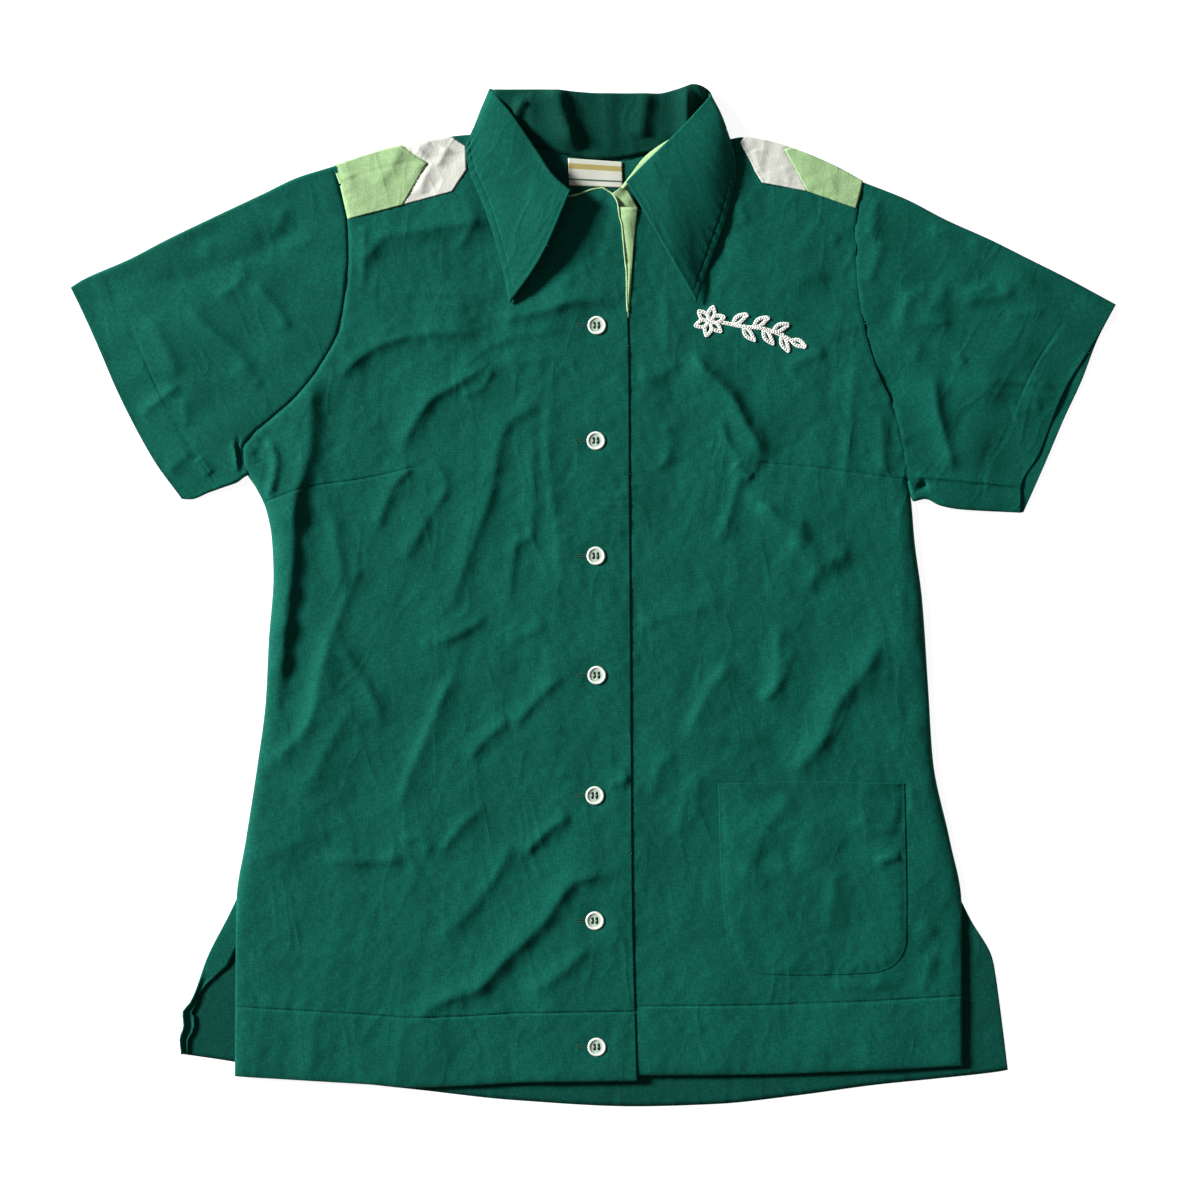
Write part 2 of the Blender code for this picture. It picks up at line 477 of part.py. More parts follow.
def collar():
    """Stand and fall in one, lofted through the table: neck seam, round the roll, to the outer edge."""
    rows = through(COLLAR_SECTIONS, COLLAR_STEPS)
    neck, roll, edge, turn = rows[:, 0:3], rows[:, 3:6], rows[:, 6:9], rows[:, 9:10]
    up = np.array([0.0, 0.0, 1.0])
    outward = np.where(
        roll[:, :1] < 0, np.array([*RIGHT_OUTWARD, 0.0]), np.array([*LEFT_OUTWARD, 0.0])
    )
    inward = roll - (neck + edge) / 2
    inward /= np.linalg.norm(inward, axis=1)[:, None]
    quarter = math.pi / 2
    face = np.cos(turn * quarter) * up + np.sin(turn * quarter) * outward
    face -= (face * inward).sum(axis=1)[:, None] * inward
    face /= np.linalg.norm(face, axis=1)[:, None]
    middle = roll - ROLL_RADIUS * inward
    sections = []
    for share in np.linspace(0.0, 1.0, STAND_ROWS + 1)[:-1]:
        sections.append(neck + share * (middle - ROLL_RADIUS * face - neck))
    for angle in np.linspace(-quarter, quarter, ROLL_ROWS):
        sections.append(middle + ROLL_RADIUS * (math.cos(angle) * inward + math.sin(angle) * face))
    crown = FALL_CROWN * np.clip(1.0 - turn, 0.0, 1.0)
    for share in np.linspace(0.0, 1.0, FALL_ROWS + 1)[1:]:
        start = middle + ROLL_RADIUS * face
        bulge = crown * math.sin(math.pi * share) * face
        sections.append(start + share * (edge - start) + bulge)
    cloth("collar", [np.stack(sections)], DARK_GREEN)


def facings():
    """The contrast facings, as level strips of cloth."""
    rows = through(LEFT_FACING, 1)
    across = inward_of(rows[:, :2], (0.3, 0.2))
    shares = np.linspace(-0.5, 0.5, 3)[:, None, None]
    plan = rows[:, :2] + shares * rows[:, 3:4] * across
    cloth("facing_left", [with_z(plan, rows[:, 2])], LIGHT_GREEN)
    edge = smooth(RIGHT_EDGE_HIGH, ARM_ROWS)[RIM_ROWS:]
    line = chain(edge, smooth(RIGHT_NECK, NECK_COLUMNS)[::-1][:RIM_COLUMNS])
    outward = -inward_of(line, (-0.1, 0.1))
    plan = line + outward * np.array([2 * GAP, 2 * GAP + FACING_RIM])[:, None, None]
    cloth("facing_right", [with_z(plan, FRONT_Z + LAYER)], LIGHT_GREEN)


def over_shoulder(plan, fold):
    """Points of a flat piece laid over a shoulder: level on top, then round the fold and under it."""
    start, run = fold[:-1], np.diff(fold, axis=0)
    offset = plan[..., None, :] - start
    t = np.clip((offset * run).sum(-1) / (run * run).sum(-1), 0.0, 1.0)
    nearest = np.linalg.norm(offset - t[..., None] * run, axis=-1).argmin(axis=-1)
    t = np.take_along_axis(t, nearest[..., None], axis=-1)
    inward = inward_of(fold, (0.0, 0.0))
    normal = (1 - t) * inward[nearest] + t * inward[nearest + 1]
    normal /= np.linalg.norm(normal, axis=-1)[..., None]
    depth = ((plan - start[nearest] - t * run[nearest]) * normal).sum(-1)
    foot = plan - depth[..., None] * normal
    radius = shoulder_radius + YOKE_Z - UNDER_Z
    angle = np.clip((shoulder_radius - depth) / radius, 0.0, math.pi)
    beyond = np.maximum((shoulder_radius - depth) - math.pi * radius, 0.0)
    in_by = np.where(
        depth >= shoulder_radius, depth, shoulder_radius - radius * np.sin(angle) + beyond
    )
    return with_z(foot + in_by[..., None] * normal, (FRONT_Z + YOKE_Z) / 2 + radius * np.cos(angle))


def insert(name, look, side, armward, neckward):
    """One shoulder insert, from its corners, laid over the shoulder seam and turned under the fold."""
    edges = []
    fold = folds_in_plan[side]
    outward = -inward_of(fold, (0.0, 0.0)).mean(axis=0)
    for corners in (armward, neckward):
        runs = [
            np.linspace(here[:2], after[:2], here[2] + 1) for here, after in zip(corners, corners[1:])
        ]
        last = corners[-1][:2]
        runs.append(np.linspace(last, last + outward * INSERT_TURN, INSERT_TURN_ROWS))
        edges.append(chain(*runs))
    low = smooth([edges[0][0], edges[1][0]], INSERT_COLUMNS)
    high = smooth([edges[0][-1], edges[1][-1]], INSERT_COLUMNS)
    plan = coons(low, high, edges[0], edges[1])
    cloth(name, [over_shoulder(plan, fold)], look)


def pocket():
    """Patch pocket, from the left front's own surface moved out."""
    plan = coons(
        smooth(POCKET_BOTTOM, POCKET_COLUMNS),
        smooth(POCKET_TOP, POCKET_COLUMNS),
        smooth(POCKET_SIDES[0], POCKET_ROWS),
        smooth(POCKET_SIDES[1], POCKET_ROWS),
    )
    height = front_height(plan, left_side, left_hem, LEFT_FRONT_FOLDS) + LAYER
    cloth("pocket", [with_z(plan, height)], DARK_GREEN)


def label():
    """Woven label, hanging from the neck seam on the inside of the back."""
    lower = smooth(LABEL_CORNERS[:2], 5)
    upper = smooth(LABEL_CORNERS[2:], 5)
    plan = np.stack([lower + share * (upper - lower) for share in np.linspace(0.0, 1.0, 4)])
    cloth("label", [with_z(plan, YOKE_Z + LAYER)], WHITE)


def turned(name, profile, sides):
    """Closed solid turned about its own Z from (radius, height) pairs, which start and end on the axis."""
    mesh = bmesh.new()
    rings = []
    for radius, height in profile:
        if radius == 0:
            rings.append([mesh.verts.new((0, 0, height))])
            continue
        turns = [2 * math.pi * k / sides for k in range(sides)]
        rings.append(
            [mesh.verts.new((radius * math.cos(a), radius * math.sin(a), height)) for a in turns]
        )
    for below, above in zip(rings, rings[1:]):
        for k in range(sides):
            corners = [below[k % len(below)], below[(k + 1) % len(below)],
                       above[(k + 1) % len(above)], above[k % len(above)]]
            mesh.faces.new(list(dict.fromkeys(corners)))
    bmesh.ops.recalc_face_normals(mesh, faces=mesh.faces)
    data = bpy.data.meshes.new(name)
    mesh.to_mesh(data)
    mesh.free()
    piece = bpy.data.objects.new(name, data)
    bpy.context.scene.collection.objects.link(piece)
    return piece


def buttons():
    """Seven four-hole buttons with a raised rim, on the right front."""
    r, h = BUTTON_RADIUS, BUTTON_HEIGHT
    blank = turned(
        "blank",
        [(0, 0), (0.72 * r, 0), (r, 0.35 * h), (0.98 * r, 0.80 * h), (0.86 * r, h),
         (0.70 * r, 0.70 * h), (0, 0.62 * h)],
        BUTTON_SIDES,
    )
    cutters = []
    for x in (-HOLE_OFFSET, HOLE_OFFSET):
        for y in (-HOLE_OFFSET, HOLE_OFFSET):
            cutter = turned("hole", [(0, -h), (HOLE_RADIUS, -h), (HOLE_RADIUS, 2 * h), (0, 2 * h)],
                            HOLE_SIDES)
            cutter.location = (x, y, 0)
            cut = blank.modifiers.new("Hole", "BOOLEAN")
            cut.solver = "EXACT"
            cut.object = cutter
            cutters.append(cutter)
    bpy.context.view_layer.update()
    drilled = blank.evaluated_get(bpy.context.evaluated_depsgraph_get())
    data = bpy.data.meshes.new_from_object(drilled)
    data.name = "button"
    data.materials.append(material("pearl button", PEARL))
    for helper in (blank, *cutters):
        bpy.data.objects.remove(helper, do_unlink=True)
    for number, (x, y) in enumerate(BUTTON_PLACES, start=1):
        button = bpy.data.objects.new(f"button_{number}", data)
        button.location = (x, y, FRONT_Z + LAYER + WALL / 2 + GAP)
        bpy.context.scene.collection.objects.link(button)


front("front_right", right_side, right_armhole, RIGHT_SHOULDER, RIGHT_NECK, RIGHT_EDGE_LOW,
      RIGHT_EDGE_HIGH, right_hem, RIGHT_FRONT_FOLDS, LAYER)
front("front_left", left_side, left_armhole, LEFT_SHOULDER, LEFT_NECK, LEFT_EDGE[:2],
      LEFT_EDGE[1:], left_hem, LEFT_FRONT_FOLDS, 0.0)
back()
sleeve("sleeve_right", right_armhole, RIGHT_SLEEVE_FOLD, RIGHT_SLEEVE_UNDER, RIGHT_CUFF, RIGHT_CUFF)
sleeve("sleeve_left", left_armhole, LEFT_SLEEVE_FOLD, LEFT_SLEEVE_UNDER, LEFT_CUFF_UPPER,
       LEFT_CUFF_LOWER)
collar()
facings()
for name, look, side, armward, neckward in INSERTS:
    insert(name, LIGHT_GREEN if look == "light" else WHITE, side, armward, neckward)
pocket()
label()
buttons()
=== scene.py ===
"""Looks of a short-sleeved bowling shirt that lies buttoned and flat on its back.

Metres, +Z up off the surface, +Y from hem to collar and +X towards the wearer's left sleeve. Right
and left are the wearer's, and the right front laps over the left one. The sections follow the shirt
as it is sewn: back, fronts, pocket, sleeves, shoulder inserts, facings, label, collar, buttons and
embroidery, then the studio.

A piece of cloth is the middle surface of its layer, worked out on a grid of two parameters, and a
Solidify modifier gives it its thickness. Creases, hems and puckers are heights added to that surface.
"""

import math

import bmesh
import bpy
import numpy as np
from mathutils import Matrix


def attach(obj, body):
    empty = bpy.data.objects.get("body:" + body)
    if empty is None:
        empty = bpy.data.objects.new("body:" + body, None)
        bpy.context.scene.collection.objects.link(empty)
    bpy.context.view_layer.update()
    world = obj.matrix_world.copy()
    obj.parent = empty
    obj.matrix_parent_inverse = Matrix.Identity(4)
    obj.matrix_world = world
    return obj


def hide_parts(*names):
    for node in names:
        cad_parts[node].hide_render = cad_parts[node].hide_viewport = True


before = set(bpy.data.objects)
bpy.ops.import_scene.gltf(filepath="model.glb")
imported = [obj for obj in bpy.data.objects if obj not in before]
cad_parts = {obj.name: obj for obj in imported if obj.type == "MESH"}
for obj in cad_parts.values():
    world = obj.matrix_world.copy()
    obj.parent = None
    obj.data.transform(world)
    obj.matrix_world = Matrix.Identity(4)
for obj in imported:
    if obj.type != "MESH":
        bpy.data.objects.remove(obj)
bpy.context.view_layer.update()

# ---------------------------------------------------------------------------------------------------
# Back. One piece of dark green poplin, cut with its shoulders running forward over the fold to the
# shoulder seams. Its side vents are open, and the right one is turned in over itself.
# ---------------------------------------------------------------------------------------------------
CLOTH = 0.0005  # thickness of one layer of poplin, as drawn
BACK_Z = 0.0003  # middle of a layer that lies on the surface
YOKE_Z = 0.0023  # middle of the back where it lies on the collar and the shoulder inserts
FRONT_Z = 0.0042  # middle of the fronts and of the sleeves' upper layers
YOKE_START, YOKE_FULL = 0.244, 0.262  # the back rises off the surface between these two
CALM_START = 0.215  # its creases die out from here up to the yoke
VENT_Z = 0.0013  # middle of the back where its right vent is turned in, below the front
VENT_OPEN = (-0.262, -0.240)  # the turned-in edge stands open below these two
VENT_CURL, VENT_SAG = 0.0016, 0.0022  # how far it then rises at its fold, and sags beyond it
STEP = 0.0018  # usual distance between grid lines
FINE_STEP = 0.0006  # distance between grid lines at seams and hems
ARC_ROWS, LEVEL_ROWS = 9, 6  # grid rows round a fold, and beyond it
NECK_COLUMNS = 66  # grid lines across the back's neck
SIDE_END, ARM_START, ARM_END = 5 / 28, 15 / 28, 27 / 28  # shares at which the back's side edges change
SHOULDER_END, SHOULDER_START = 8 / 27, 19 / 27  # the same for its top edge
LIGHT = np.array([-0.90, 0.44])  # towards the main light, in plan

RIGHT_SIDE = [
    (-0.232, -0.312), (-0.231, -0.198), (-0.225, -0.159), (-0.217, -0.107), (-0.212, -0.068),
    (-0.21, -0.029), (-0.207, 0.013), (-0.208, 0.036), (-0.2115, 0.055), (-0.2178, 0.069),
    (-0.2239, 0.0783),
]
RIGHT_ARMHOLE = [
    (-0.2239, 0.0783), (-0.2258, 0.0848), (-0.2268, 0.0945), (-0.2225, 0.102), (-0.206, 0.1165),
    (-0.191, 0.13), (-0.176, 0.15), (-0.165, 0.171), (-0.16, 0.197), (-0.158, 0.221), (-0.159, 0.244),
    (-0.164, 0.266),
]
LEFT_SIDE = [
    (0.24, -0.305), (0.2395, -0.199), (0.232, -0.159), (0.221, -0.107), (0.218, -0.061),
    (0.214, -0.003), (0.209, 0.036), (0.207, 0.06), (0.205, 0.074),
]
LEFT_ARMHOLE = [
    (0.205, 0.074), (0.201, 0.101), (0.197, 0.118), (0.184, 0.148), (0.176, 0.178), (0.172, 0.211),
    (0.171, 0.238), (0.174, 0.26),
]
BACK_HEM = [
    (-0.266, -0.298), (-0.233, -0.303), (-0.19, -0.311), (-0.151, -0.317), (-0.115, -0.321),
    (-0.05, -0.328), (0.028, -0.332), (0.08, -0.3305), (0.132, -0.325), (0.184, -0.318),
    (0.223, -0.314), (0.262, -0.3097), (0.27, -0.3083),
]
RIGHT_VENT = [
    (-0.267, -0.298), (-0.268, -0.288), (-0.2655, -0.2795), (-0.2662, -0.2712), (-0.2612, -0.2642),
    (-0.2584, -0.2584), (-0.25, -0.235), (-0.2362, -0.208), (-0.2302, -0.1955),
]
LEFT_VENT = [
    (0.27, -0.3083), (0.266, -0.276), (0.2625, -0.25), (0.26, -0.236), (0.246, -0.211), (0.24, -0.199),
]
RIGHT_FOLD = [
    (-0.1687, 0.2783), (-0.1475, 0.2852), (-0.1321, 0.2898), (-0.1144, 0.2932), (-0.098, 0.2964),
    (-0.0885, 0.2981), (-0.078, 0.299),
]
LEFT_FOLD = [
    (0.1756, 0.2682), (0.1571, 0.2784), (0.1312, 0.2893), (0.1114, 0.2952), (0.0967, 0.2972),
    (0.0888, 0.2958),
]
BACK_NECK = [
    (-0.078, 0.2975), (-0.057, 0.293), (-0.037, 0.29), (-0.017, 0.284), (0.005, 0.282), (0.019, 0.282),
    (0.037, 0.286), (0.063, 0.2925), (0.0885, 0.2948),
]
RIGHT_SHOULDER = [(-0.164, 0.266), (-0.147, 0.274), (-0.112, 0.283), (-0.077, 0.287)]
LEFT_SHOULDER = [(0.174, 0.260), (0.145, 0.277), (0.119, 0.286), (0.091, 0.287)]
# How far the right vent's edge is turned in over itself: y, width
VENT_TURN = [
    (-0.298, 0.0036), (-0.2855, 0.0052), (-0.2788, 0.0066), (-0.2731, 0.0068), (-0.2664, 0.0038),
    (-0.2585, 0.0018), (-0.2517, 0.004), (-0.2417, 0.0105), (-0.2345, 0.0145), (-0.195, 0.014),
]
# Creases: height, width of the side towards the light, width of the other side, and the points of
# the path. The same holds for all tables of creases.
BACK_CREASES = [
    (0.001, 0.009, 0.006, [(-0.15, 0.15), (-0.12, 0.06), (-0.13, -0.04)]),
    (0.0012, 0.01, 0.007, [(0.12, 0.17), (0.09, 0.09), (0.11, 0)]),
    (0.0009, 0.007, 0.01, [(-0.08, 0.01), (-0.02, 0.07), (0.04, 0.06)]),
    (0.0011, 0.008, 0.006, [(-0.19, -0.12), (-0.14, -0.06), (-0.11, 0.02)]),
    (0.001, 0.009, 0.006, [(0.19, -0.18), (0.14, -0.1), (0.13, -0.04)]),
    (0.0008, 0.007, 0.007, [(-0.06, -0.22), (0, -0.16), (0.03, -0.09)]),
    (0.0007, 0.006, 0.006, [(0.06, -0.26), (0.08, -0.2), (0.07, -0.14)]),
    (0.0006, 0.005, 0.004, [(0.2455, -0.214), (0.254, -0.222), (0.262, -0.226)]),
    (0.0006, 0.004, 0.003, [(0.25, -0.25), (0.259, -0.254), (0.265, -0.252)]),
    (0.0005, 0.004, 0.003, [(0.252, -0.268), (0.26, -0.272), (0.266, -0.27)]),
    (0.0005, 0.004, 0.003, [(0.254, -0.286), (0.261, -0.29), (0.268, -0.289)]),
]


def through(points, steps):
    """Smooth curve through `points`, with `steps` steps from each one to the next.

    Cubic Hermite: its slope is the harmonic mean of those beside it, or 0 at a turn, so it never
    overshoots.
    """
    given = np.array(points, float)
    at = np.concatenate([[0.0], np.cumsum(np.linalg.norm(np.diff(given, axis=0), axis=1))])
    rate = np.diff(given, axis=0) / np.diff(at)[:, None]
    before, after = rate[:-1], rate[1:]
    turning = before * after <= 0
    mean = 2 * before * after / np.where(turning, 1.0, before + after)
    slope = np.concatenate([rate[:1], np.where(turning, 0.0, mean), rate[-1:]])
    place = np.arange((len(given) - 1) * steps + 1) / steps
    left = np.minimum(place.astype(int), len(given) - 2)
    span = (at[left + 1] - at[left])[:, None]
    t = (place - left)[:, None]
    return (
        (2 * t**3 - 3 * t**2 + 1) * given[left]
        + (t**3 - 2 * t**2 + t) * span * slope[left]
        + (3 * t**2 - 2 * t**3) * given[left + 1]
        + (t**3 - t**2) * span * slope[left + 1]
    )


def runs(line):
    """Distance along a line of points, at each point."""
    return np.concatenate([[0.0], np.cumsum(np.linalg.norm(np.diff(line, axis=0), axis=1))])


def along(points, at):
    """Points on the smooth curve through `points`, at shares `at` of its length."""
    curve = through(points, 40)
    run = runs(curve)
    return np.stack([np.interp(np.asarray(at) * run[-1], run, column) for column in curve.T], axis=1)


def joined(parts, at):
    """Points at shares `at` of an edge made of several curves. Each part ends at its own share."""
    made, start = [], 0.0
    for end, points in parts:
        here = (at >= start) & ((at < end) | (end >= 1.0))
        made.append(along(points, (at[here] - start) / (end - start)))
        start = end
    return np.concatenate(made)


def graded(length, marks, reach=0.004, coarse=STEP, fine=FINE_STEP):
    """Shares of a length, `coarse` apart, closing up to `fine` within `reach` of each mark."""
    at = np.linspace(0.0, length, 6001)
    near = np.abs(at[:, None] - np.array(marks)).min(axis=1)
    density = 1 / coarse + (1 / fine - 1 / coarse) * np.exp(-((near / reach) ** 4))
    total = np.concatenate([[0.0], np.cumsum((density[1:] + density[:-1]) / 2 * np.diff(at))])
    even = np.linspace(0.0, total[-1], int(round(total[-1])) + 1)
    return np.interp(even, total, at / length)


def patch(bottom, top, left, right, u, v):
    """Coons patch: the two ruled surfaces between opposite edges, less the one through the corners."""
    u, v = u[None, :, None], v[:, None, None]
    across = (1 - v) * bottom[None] + v * top[None]
    upward = (1 - u) * left[:, None] + u * right[:, None]
    corners = (1 - v) * ((1 - u) * bottom[0] + u * bottom[-1]) + v * ((1 - u) * top[0] + u * top[-1])
    return across + upward - corners


def ease(value, start, full):
    """0 up to `start` and 1 from `full` on, with a soft S between."""
    t = np.clip((value - start) / (full - start), 0.0, 1.0)
    return t * t * (3 - 2 * t)


def nearest_on(plan, line):
    """Distance in plan to a line of points, distance along it, and +1 on its left or -1 on its right."""
    start, run = line[:-1, :2], np.diff(line[:, :2], axis=0)
    length = np.linalg.norm(run, axis=1)
    offset = plan[..., None, :2] - start
    t = np.clip((offset * run).sum(-1) / length**2, 0.0, 1.0)
    gap = np.linalg.norm(offset - t[..., None] * run, axis=-1)
    nearest = gap.argmin(axis=-1)[..., None]
    turn = run[:, 0] * offset[..., 1] - run[:, 1] * offset[..., 0]
    here = runs(line[:, :2])[:-1] + t * length
    gap, turn, here = (np.take_along_axis(values, nearest, -1)[..., 0] for values in (gap, turn, here))
    return gap, here, np.where(turn >= 0, 1.0, -1.0)


def creases(plan, table, seed, fading=0.2):
    """Height of the creases of a table, added up.

    Square to its path a crease is a bell, h = height * exp(-|d / width| ^ 1.3), wide on one side and
    steep on the other, so that it shows as one dark or one light band. Its crest stands aside from
    the path, which is the middle of that band. Its height wavers and fades out towards both ends.
    """
    rng = np.random.default_rng(seed)
    total = np.zeros(plan.shape[:-1])
    for height, lit, dark, path in table:
        line = through(path, 8)
        chord = line[-1] - line[0]
        towards = np.sign(chord[0] * LIGHT[1] - chord[1] * LIGHT[0])
        pitch, phase = rng.uniform(0.020, 0.045), rng.uniform(0.0, 2 * math.pi)
        reach = 3 * max(lit, dark)
        inside = (plan > line.min(axis=0) - reach) & (plan < line.max(axis=0) + reach)
        near = inside.all(axis=-1)
        gap, here, side = nearest_on(plan[near], line)
        crest = 0.0 if height < 0 else 0.7 * dark if lit > dark else -0.7 * lit
        aside = gap * side * towards - crest
        share = here / runs(line)[-1]
        fade = ease(share, 0.0, fading) * ease(1 - share, 0.0, fading)
        waver = 1 + 0.12 * np.sin(2 * math.pi * here / pitch + phase)
        bell = np.exp(-np.abs(aside / np.where(aside > 0, lit, dark)) ** 1.3)
        total[near] += height * waver * fade * bell
    return total


def rumple(plan, seed, height, shortest, longest):
    """Soft unevenness: plane waves of random direction, length and phase, added and scaled."""
    rng = np.random.default_rng(seed)
    total = np.zeros(plan.shape[:-1])
    waves = 26
    for _ in range(waves):
        angle, phase = rng.uniform(0.0, 2 * math.pi, 2)
        length = rng.uniform(shortest, longest)
        place = plan[..., 0] * math.cos(angle) + plan[..., 1] * math.sin(angle)
        total += np.sin(2 * math.pi * place / length + phase)
    return height * total / math.sqrt(waves / 2)


def puckers(gap, here, seed, height, reach, pitch):
    """Small folds square to a seam: random waves along it, about `pitch` long, that die out aside."""
    rng = np.random.default_rng(seed)
    waves = 6
    total = sum(
        np.sin(2 * math.pi * here / (pitch * rng.uniform(0.6, 1.8)) + rng.uniform(0.0, 2 * math.pi))
        for _ in range(waves)
    )
    return height * total / math.sqrt(waves / 2) * np.exp(-gap / reach)


def groove(gap, depth, width):
    """Line pulled down by a row of stitches: a narrow bell, below the cloth."""
    return -depth * np.exp(-((gap / width) ** 2))


def rounded(distance, radius):
    """Height of a quarter circle, as a share of its radius, at a distance in from its foot."""
    return np.sqrt(1 - (1 - np.clip(distance / radius, 0.0, 1.0)) ** 2)


def with_z(plan, z):
    """Points of a plan, at heights z."""
    return np.concatenate([plan[..., :2], np.broadcast_to(z, plan.shape[:-1])[..., None]], axis=-1)


def inward_of(line, towards):
    """Unit normals of a line in plan, on the side that `towards` lies."""
    run = np.gradient(line, axis=0)
    normal = np.stack([-run[:, 1], run[:, 0]], axis=1)
    normal /= np.linalg.norm(normal, axis=1)[:, None]
    return normal * np.sign(((np.array(towards) - line) * normal).sum(axis=1))[:, None]


def turned_over(line, inward, z_low, z_high, end):
    """Rows carried from a lower layer round the fold at `line`, and level on to the line `end`."""
    radius = (z_high - z_low) / 2
    angles = np.linspace(0.0, math.pi, ARC_ROWS)[:, None, None]
    arc = line + inward * (radius - radius * np.sin(angles))
    arc_z = z_low + radius - radius * np.cos(angles[..., 0])
    shares = np.linspace(0.0, 1.0, LEVEL_ROWS + 1)[1:, None, None]
    return np.concatenate([with_z(arc, arc_z), with_z(arc[-1] + shares * (end - arc[-1]), z_high)])


def placed(name, data):
    """Object with the given mesh, light or camera, linked to the scene at its origin."""
    made = bpy.data.objects.new(name, data)
    bpy.context.scene.collection.objects.link(made)
    return made


def smoothed(data, weld=None):
    """Turns the normals of a mesh outward, after welding points nearer than `weld`, and smooths it."""
    mesh = bmesh.new()
    mesh.from_mesh(data)
    if weld:
        bmesh.ops.remove_doubles(mesh, verts=mesh.verts, dist=weld)
    bmesh.ops.recalc_face_normals(mesh, faces=mesh.faces)
    mesh.to_mesh(data)
    mesh.free()
    data.shade_smooth()


def cloth(name, grids, finish, thickness=CLOTH, maps=None):
    """One piece of cloth from grids of points. Points that coincide are welded, and a Solidify
    modifier gives the wall. The UV map is in metres of cloth: the plan, unless `maps` gives it."""
    points, faces, places = [], [], []
    start = 0
    for number, grid in enumerate(grids):
        index = start + np.arange(grid.shape[0] * grid.shape[1]).reshape(grid.shape[:2])
        quads = [index[:-1, :-1], index[:-1, 1:], index[1:, 1:], index[1:, :-1]]
        faces.append(np.stack(quads, axis=-1).reshape(-1, 4))
        points.append(grid.reshape(-1, 3))
        places.append((grid[..., :2] if maps is None else maps[number]).reshape(-1, 2))
        start += len(points[-1])
    points, faces, places = (np.concatenate(parts) for parts in (points, faces, places))
    _, first, weld = np.unique(np.round(points, 6), axis=0, return_index=True, return_inverse=True)
    data = bpy.data.meshes.new(name)
    data.from_pydata(points[first], [], weld.reshape(-1)[faces])
    data.uv_layers.new(name="cloth").data.foreach_set("uv", places[faces].ravel())
    smoothed(data)
    data.materials.append(finish)
    piece = placed(name, data)
    wall = piece.modifiers.new("Wall", "SOLIDIFY")
    wall.thickness = thickness
    wall.offset = 0.0
    return piece


def linear(hex_colour):
    """Linear RGBA of an sRGB hex colour such as "2a6b57"."""
    parts = [int(hex_colour[k:k + 2], 16) / 255 for k in (0, 2, 4)]
    return [c / 12.92 if c <= 0.04045 else ((c + 0.055) / 1.055) ** 2.4 for c in parts] + [1.0]


def add(tree, kind, inputs=(), **settings):
    """Adds a shader node with its settings. `inputs` gives each socket a value or another's output."""
    made = tree.nodes.new("ShaderNode" + kind)
    for key, value in settings.items():
        setattr(made, key, value)
    for socket, value in dict(inputs).items():
        if isinstance(value, bpy.types.NodeSocket):
            tree.links.new(value, made.inputs[socket])
        else:
            made.inputs[socket].default_value = value
    return made


def new_material(name):
    """A new material and its shader."""
    made = bpy.data.materials.new(name)
    made.use_nodes = True
    return made, made.node_tree.nodes["Principled BSDF"]


